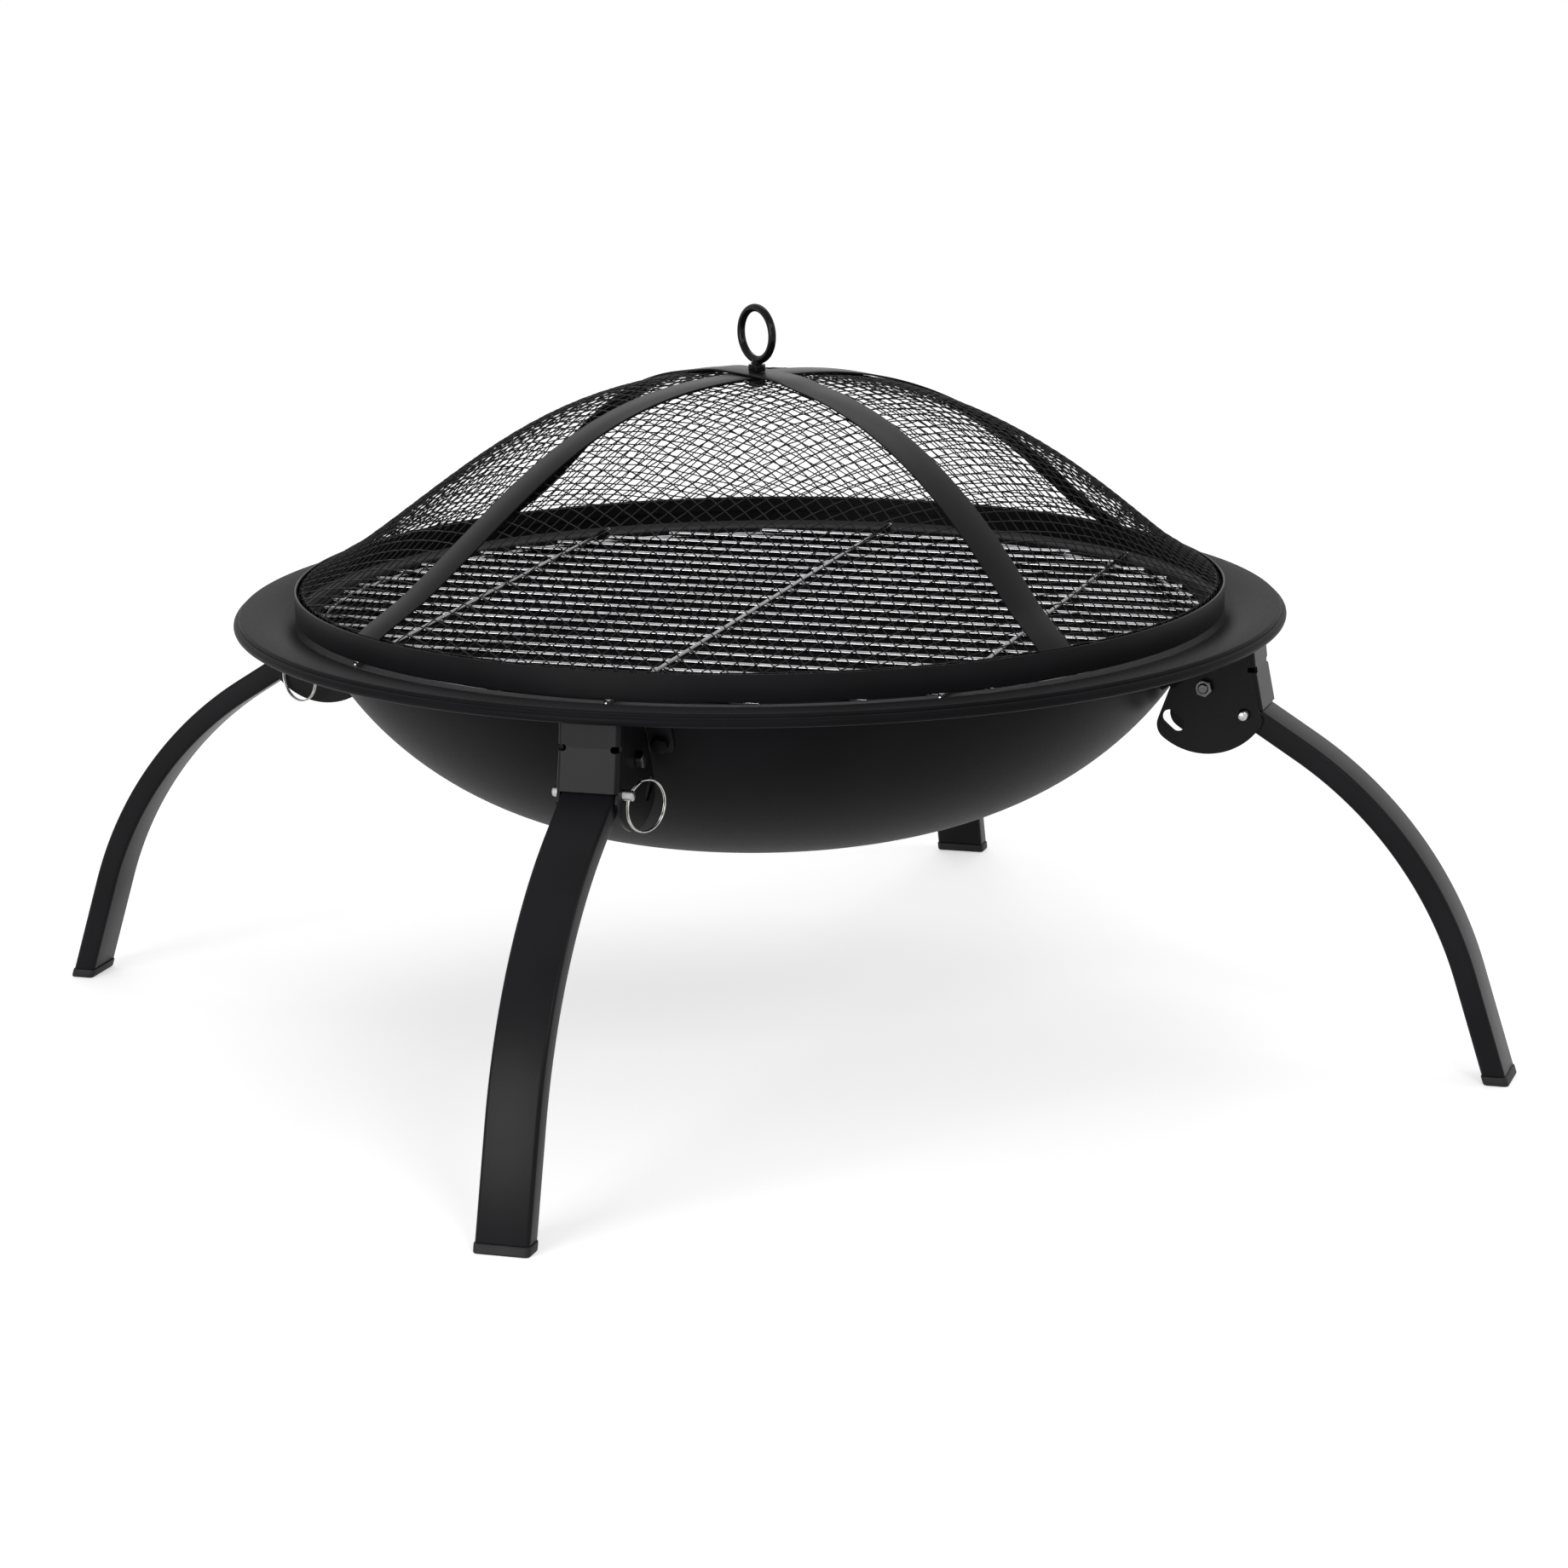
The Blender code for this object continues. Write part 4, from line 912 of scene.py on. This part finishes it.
# cooking grate
grateSpec = {
    "rodRadius": 0.0012,
    "hoopRadius": mouthR - 0.0036,
    "hoopRod": 0.0014,
    "rods": 22,
    "outerRodIn": 0.01035,
    "overhang": 0.0026,
    "crossShare": 0.6624,
    "crossReach": 0.0107,
    "bite": 0.0004,  # how far welded rods sink into each other
    "weld": 0.0016,
    "sides": 12,
    "roundEnd": 0.0008,
}


def weldSpot(centre, size):  # a small flattened nugget where two rods are welded
    bm = bmesh.new()
    bmesh.ops.create_icosphere(bm, subdivisions=1, radius=1.0)
    scale = Vector((size, size, size * 0.6))
    points = [Vector(centre) + v.co * scale for v in bm.verts]
    faces = [tuple(v.index for v in face.verts) for face in bm.faces]
    bm.free()
    return points, faces


def makeGrate():
    spec = grateSpec
    crossZ = ledgeZ + gap + spec["rodRadius"]
    rodZ = crossZ - 2 * spec["rodRadius"] + spec["bite"]
    hoopZ = rodZ - spec["rodRadius"] - spec["hoopRod"] + spec["bite"]
    hoopR = spec["hoopRadius"]
    up = Vector((0.0, 0.0, 1.0))
    circle = [Vector((hoopR * math.cos(t), hoopR * math.sin(t), hoopZ))
              for t in (math.tau * i / 240 for i in range(240))]
    parts = [sweep(alongPath(circle, up, True), roundSection(spec["hoopRod"], spec["sides"]), True)]
    rod = (spec["rodRadius"], spec["sides"], spec["roundEnd"])
    pitch = 2 * (hoopR - spec["outerRodIn"]) / (spec["rods"] - 1)
    crossX = [(i - 1) * spec["crossShare"] * hoopR for i in range(3)]
    for i in range(spec["rods"]):
        y = (i - (spec["rods"] - 1) / 2) * pitch
        half = math.sqrt(hoopR ** 2 - y ** 2)
        end = half + spec["overhang"]
        parts.append(rodData((-end, y, rodZ), (end, y, rodZ), *rod))
        for x in (-half, half):
            parts.append(weldSpot((x, y, (rodZ + hoopZ) / 2), spec["weld"]))
        for x in crossX:
            if abs(x) < half:
                parts.append(weldSpot((x, y, (rodZ + crossZ) / 2), spec["weld"]))
    for x in crossX:
        half = math.sqrt((mouthR + spec["crossReach"]) ** 2 - x ** 2)
        parts.append(rodData((x, -half, crossZ), (x, half, crossZ), *rod))
    grate = turnOut(addMesh("grate", joined(parts)))
    seat(shade(grate, 50.0), "chrome", "grate", "cooking_grate")


makeGrate()
print("grate made")

# spark screen
screenSpec = {
    "sheet": 0.0010,
    "steps": 240,
    "domeRise": 0.1084,
    "domeCurve": 2.5337,  # exponent across
    "domeFull": 0.7056,  # exponent down
    "hemStart": 0.222,  # the mesh runs straight to the band from this radius
    "wire": 0.0010,  # room kept for the mesh
    "skirt": 0.0070,
    "lean": 0.0040,
    "leanHeading": math.radians(17.9),
    "strapWidth": 0.0200,
    "strapTuck": 0.0060,
    "strapRamp": 0.0500,  # the upper strap comes down to the mesh over this
    "strapPieces": 56,
    "strapHole": 0.0023,
    "edge": 0.00025,  # small round on the sheets' edges
}
bandR = ledgeR
strapR = bandR - screenSpec["sheet"] - gap - screenSpec["sheet"] / 2
meshR = strapR - screenSpec["sheet"] / 2 - gap - screenSpec["wire"] / 2
innerHoopR = meshR - screenSpec["wire"] / 2 - gap
meshTop = bandTop + screenSpec["domeRise"]


def domeCurve(r):
    share = min(1.0, r / (meshR + 0.0018))
    fill = (1.0 - share ** screenSpec["domeCurve"]) ** (1.0 / screenSpec["domeFull"])
    return bandTop + screenSpec["domeRise"] * fill


def domeHeight(r):  # middle of the mesh over radius r
    start = screenSpec["hemStart"]
    if r <= start:
        return domeCurve(r)
    return bandTop + (domeCurve(start) - bandTop) * (meshR - r) / (meshR - start)


def domeNormal(r):  # (outwards, up), square to the mesh
    step = 0.0004
    near, far = max(0.0, r - step), min(meshR, r + step)
    fall = (domeHeight(near) - domeHeight(far)) / (far - near)
    length = math.hypot(1.0, fall)
    return fall / length, 1.0 / length


def leant(point, r):  # the hand-stretched mesh stands a little to one side
    height = (domeHeight(r) - bandTop) / screenSpec["domeRise"]
    way = Vector((math.cos(screenSpec["leanHeading"]), math.sin(screenSpec["leanHeading"]), 0.0))
    return point + way * (screenSpec["lean"] * math.sin(math.pi * min(1.0, max(0.0, height))))


def makeBands():
    spec = screenSpec
    sheet, edge = spec["sheet"], spec["edge"]
    low = bandTop - spec["skirt"] - 2 * gap
    for name, node, out, foot in (("bandOuter", "screen_band_outer", bandR, bandLow),
                                  ("bandInner", "screen_band_inner", innerHoopR, low)):
        section = [(out - edge, bandTop), (out, bandTop - edge), (out, foot + edge), (out - edge, foot),
                   (out - sheet + edge, foot), (out - sheet, foot + edge),
                   (out - sheet, bandTop - edge), (out - sheet + edge, bandTop)]
        band = turnOut(addMesh(name, lathe(section, spec["steps"], closed=True)))
        seat(shade(band, 30.0), "satinPaint", "screen", node)


meshSpec = {
    "headings": (math.radians(54.5), math.radians(-37.5)),
    "pitch": 0.0074,  # from wire to wire along the dome
    "radius": 0.00035,
    "weave": 0.00015,  # each wire's rise and fall over the others
    "sides": 5,
    "eye": 0.0042,  # mesh cut away round the eye's stem
    "wander": 0.0002,  # how far a wire strays sideways
    "steps": 200,
}


def domeLengths():  # way over the dome from its top, for steps of radius
    radii = [meshR * i / meshSpec["steps"] for i in range(meshSpec["steps"] + 1)]
    lengths = [0.0]
    for r0, r1 in zip(radii, radii[1:]):
        lengths.append(lengths[-1] + math.hypot(r1 - r0, domeHeight(r1) - domeHeight(r0)))
    return lengths, radii


def laidSpot(flat, lift, lengths, radii):  # a point of the flat netting, laid over the dome
    length = flat.length
    way = flat / length
    past = max(0.0, length - lengths[-1])
    r = float(np.interp(length, lengths, radii))
    out, up = (1.0, 0.0) if past else domeNormal(r)
    far = r + out * lift
    return leant(Vector((way.x * far, way.y * far, domeHeight(r) - past + up * lift)), r)


def meshWires(own, other, phase, lengths, radii):  # one family, woven over and under the other
    pitch = meshSpec["pitch"]
    section = roundSection(meshSpec["radius"], meshSpec["sides"])
    hem = lengths[-1] + screenSpec["skirt"]
    square = abs(own.x * other.y - own.y * other.x)
    parts = []
    reach = int(hem * square / pitch)
    for j in range(-reach, reach + 1):
        base = other * (j * pitch / square)
        middle = -base.dot(own)
        half = math.sqrt(max(0.0, hem ** 2 - (base + own * middle).length_squared))
        first, last = middle - half, middle + half
        step = pitch / square / 2
        level = Vector((-own.y, own.x, 0.0))
        runs, run = [], []
        for k in range(math.ceil((first + 0.0012) / step), int((last - 0.0012) / step) + 1):
            t = k * step
            stray = math.sin(31.0 * t + 2.3 * j) + 0.6 * math.sin(83.0 * t - 1.7 * j)
            flat = base + own * t + level * (stray * meshSpec["wander"])
            if flat.length < meshSpec["eye"]:
                runs.append(run)
                run = []
                continue
            over = 0.0 if k % 2 else (1.0 if (k // 2 + j) % 2 == phase else -1.0)
            if flat.length > lengths[-1] - 0.003:
                over = 0.0
            run.append(laidSpot(flat, over * meshSpec["weave"], lengths, radii))
        if run and half > 0.002:
            run.append(laidSpot(base + own * last, 0.0, lengths, radii))
            (runs + [run])[0].insert(0, laidSpot(base + own * first, 0.0, lengths, radii))
        runs.append(run)
        for run in runs:
            if len(run) > 1:
                parts.append(sweep(alongPath(run, level), section))
    return joined(parts)


def makeMesh():
    lengths, radii = domeLengths()
    ways = [Vector((math.cos(turn), math.sin(turn), 0.0)) for turn in meshSpec["headings"]]
    for i in (0, 1):
        wires = addMesh("meshWires" + "AB"[i], meshWires(ways[i], ways[1 - i], i, lengths, radii))
        seat(shade(turnOut(wires), 80.0), "meshPaint", "screen", "screen_mesh")


def makeStraps():
    spec = screenSpec
    sheet = spec["sheet"]
    middle = spec["wire"] / 2 + gap + sheet / 2
    ramp = spec["strapRamp"]
    section = boxSection(spec["strapWidth"] / 2, sheet / 2, spec["edge"], 2)
    for name, node, lift, heading in (("strapLower", "screen_strap_lower", 0.0, strapHeading),
                                      ("strapUpper", "screen_strap_upper", sheet + gap,
                                       strapHeading + math.pi / 2)):
        half = []
        for i in range(spec["strapPieces"] + 1):
            r = meshR * (1.0 - i / spec["strapPieces"])
            out, up = domeNormal(r)
            blend = min(1.0, max(0.0, (ramp - r) / (ramp / 2)))
            rise = lift * blend * blend * (3.0 - 2.0 * blend)
            half.append((r + out * middle, domeHeight(r) + up * middle + rise, out, up))
        half[-1] = (0.0, domeHeight(0.0) + middle + lift, 0.0, 1.0)
        half[0] = (strapR, bandTop + 0.0002, 0.85, 0.52)
        half.insert(0, (strapR, bandTop - spec["strapTuck"], 1.0, 0.0))
        line = half + [(-r, z, -out, up) for r, z, out, up in reversed(half[:-1])]
        way = Vector((math.cos(heading), math.sin(heading), 0.0))
        across = Vector((-way.y, way.x, 0.0))
        stations = []
        for r, z, out, up in line:
            normal = way * out + Vector((0.0, 0.0, up))
            stations.append((leant(way * r + Vector((0.0, 0.0, z)), abs(r)), across, normal.normalized()))
        strap = turnOut(addMesh(name, sweep(stations, section)))
        hole = rodData((0, 0, bandTop + 0.05), (0, 0, bandTop + 0.15), spec["strapHole"], 24)
        combine(strap, [cutter(hole)])
        seat(shade(turnOut(strap), 30.0), "satinPaint", "screen", node)


eyeSpec = {
    "radius": 0.01385,
    "wire": 0.00215,
    "stem": 0.0020,
    "collar": 0.0036,
    "flats": 0.0090,
    "pastNut": 0.0010,
}


def makeLiftingEye():
    spec = eyeSpec
    strapTop = meshTop + screenSpec["wire"] / 2 + 2 * (gap + screenSpec["sheet"])
    collarLow = strapTop + gap
    collarHigh = collarLow + spec["collar"]
    eyeZ = collarHigh + spec["radius"] + spec["wire"] + gap
    nutHigh = meshTop - screenSpec["wire"] / 2 - gap
    nutLow = nutHigh - spec["collar"]
    way = Vector((math.cos(strapHeading + math.pi / 2), math.sin(strapHeading + math.pi / 2), 0.0))
    normal = Vector((-way.y, way.x, 0.0))
    path = [Vector((0, 0, eyeZ)) + (way * math.cos(t) + Vector((0, 0, 1)) * math.sin(t)) * spec["radius"]
            for t in (math.tau * i / 96 for i in range(96))]
    loop = sweep(alongPath(path, normal, True), roundSection(spec["wire"], 20), True)
    stud = threadData(spec["stem"], nutLow - spec["pastNut"], collarHigh)
    neckLow = collarHigh + gap
    neck = [(0.0, neckLow), (0.0031, neckLow), (0.0033, neckLow + 0.0004), (0.0027, neckLow + 0.0014),
            (0.0024, neckLow + 0.0026), (0.0, neckLow + 0.0030)]
    eye = turnOut(addMesh("liftingEye", joined([loop, stud, lathe(neck, 24)])), weld=doubled)
    seat(shade(eye, 45.0), "glossPaint", "screen", "lifting_eye")
    for name, node, low in (("eyeCollar", "eye_collar", collarLow), ("eyeNut", "eye_nut", nutLow)):
        nut = hexBody(spec["flats"], spec["collar"], spec["stem"] + 0.0002)
        piece = turnOut(addMesh(name, moved(nut, Matrix.Translation((0, 0, low)))), weld=doubled)
        seat(shade(piece, 30.0), "glossPaint", "screen", node)


makeBands()
makeMesh()
makeStraps()
makeLiftingEye()
print("screen made")

# floor, lamps and world
studioSpec = {
    "floorSize": 14.0,
    "floorColour": (0.88, 0.88, 0.88),
    "floorGlow": (0.51, 0.66),  # near and far, keeps the floor white without lighting the object
    "glowReach": (1.2, 3.2),
    "worldLight": 0.40,
    "aimHeight": 0.2,
    "lamps": (
        # heading, height angle, distance, size, watts
        (250.0, 12.0, 3.0, 1.4, 44.0),
        (12.0, 22.0, 2.8, 1.4, 8.0),
        (105.0, 60.0, 2.8, 1.6, 14.0),
        (306.0, 34.0, 3.0, 0.7, 14.0),
    ),
}


def lightPathMask(tree):  # 1 for what the camera, a mirror or glass sees
    path = addNode(tree, "ShaderNodeLightPath")
    last, output = path, "Is Camera Ray"
    for name in ("Is Glossy Ray", "Is Transmission Ray"):
        either = addNode(tree, "ShaderNodeMath")
        either.operation = "MAXIMUM"
        connect(tree, (last, output, either, 0), (path, name, either, 1))
        last, output = either, "Value"
    return last


def makeFloor():
    half = studioSpec["floorSize"] / 2
    corners = [Vector((x * half, y * half, 0.0)) for x, y in ((-1, -1), (1, -1), (1, 1), (-1, 1))]
    floor = addMesh("floor", (corners, [(0, 1, 2, 3)]))
    material = bpy.data.materials.new("floor")
    material.use_nodes = True
    tree = material.node_tree
    tree.nodes.clear()
    colour = (*studioSpec["floorColour"], 1.0)
    near, far = studioSpec["glowReach"]
    low, high = studioSpec["floorGlow"]
    diffuse = addNode(tree, "ShaderNodeBsdfDiffuse", [("Color", colour)])
    glow = addNode(tree, "ShaderNodeEmission")
    place = addNode(tree, "ShaderNodeTexCoord")
    away = addNode(tree, "ShaderNodeVectorMath")
    away.operation = "LENGTH"
    rise = addNode(tree, "ShaderNodeMapRange",
                   (("From Min", near), ("From Max", far), ("To Min", low), ("To Max", high)))
    rise.interpolation_type = "SMOOTHSTEP"
    amount = addNode(tree, "ShaderNodeMath")
    amount.operation = "MULTIPLY"
    both = addNode(tree, "ShaderNodeAddShader")
    output = addNode(tree, "ShaderNodeOutputMaterial")
    connect(tree, (place, "Object", away, 0), (away, "Value", rise, "Value"), (rise, "Result", amount, 1),
            (lightPathMask(tree), "Value", amount, 0), (amount, "Value", glow, "Strength"),
            (diffuse, 0, both, 0), (glow, 0, both, 1), (both, 0, output, "Surface"))
    floor.data.materials.append(material)


def makeWorld():
    world = bpy.data.worlds.new("studio")
    scene.world = world
    world.use_nodes = True
    tree = world.node_tree
    background = tree.nodes["Background"]
    background.inputs["Color"].default_value = (1.0, 1.0, 1.0, 1.0)
    strength = addNode(tree, "ShaderNodeMapRange",
                       (("To Min", studioSpec["worldLight"]), ("To Max", 1.0)))
    connect(tree, (lightPathMask(tree), "Value", strength, "Value"),
            (strength, "Result", background, "Strength"))


def makeLamps():
    for i, (heading, climb, distance, size, watts) in enumerate(studioSpec["lamps"]):
        lamp = bpy.data.lights.new(f"lamp{i}", "AREA")
        lamp.size = size
        lamp.energy = watts
        obj = bpy.data.objects.new(f"lamp{i}", lamp)
        scene.collection.objects.link(obj)
        flat = distance * math.cos(math.radians(climb))
        place = Vector((flat * math.cos(math.radians(heading)), flat * math.sin(math.radians(heading)),
                        studioSpec["aimHeight"] + distance * math.sin(math.radians(climb))))
        aim = Vector((0.0, 0.0, studioSpec["aimHeight"])) - place
        obj.matrix_world = Matrix.Translation(place) @ aim.to_track_quat("-Z", "Y").to_matrix().to_4x4()


makeFloor()
makeWorld()
makeLamps()
print("studio made")
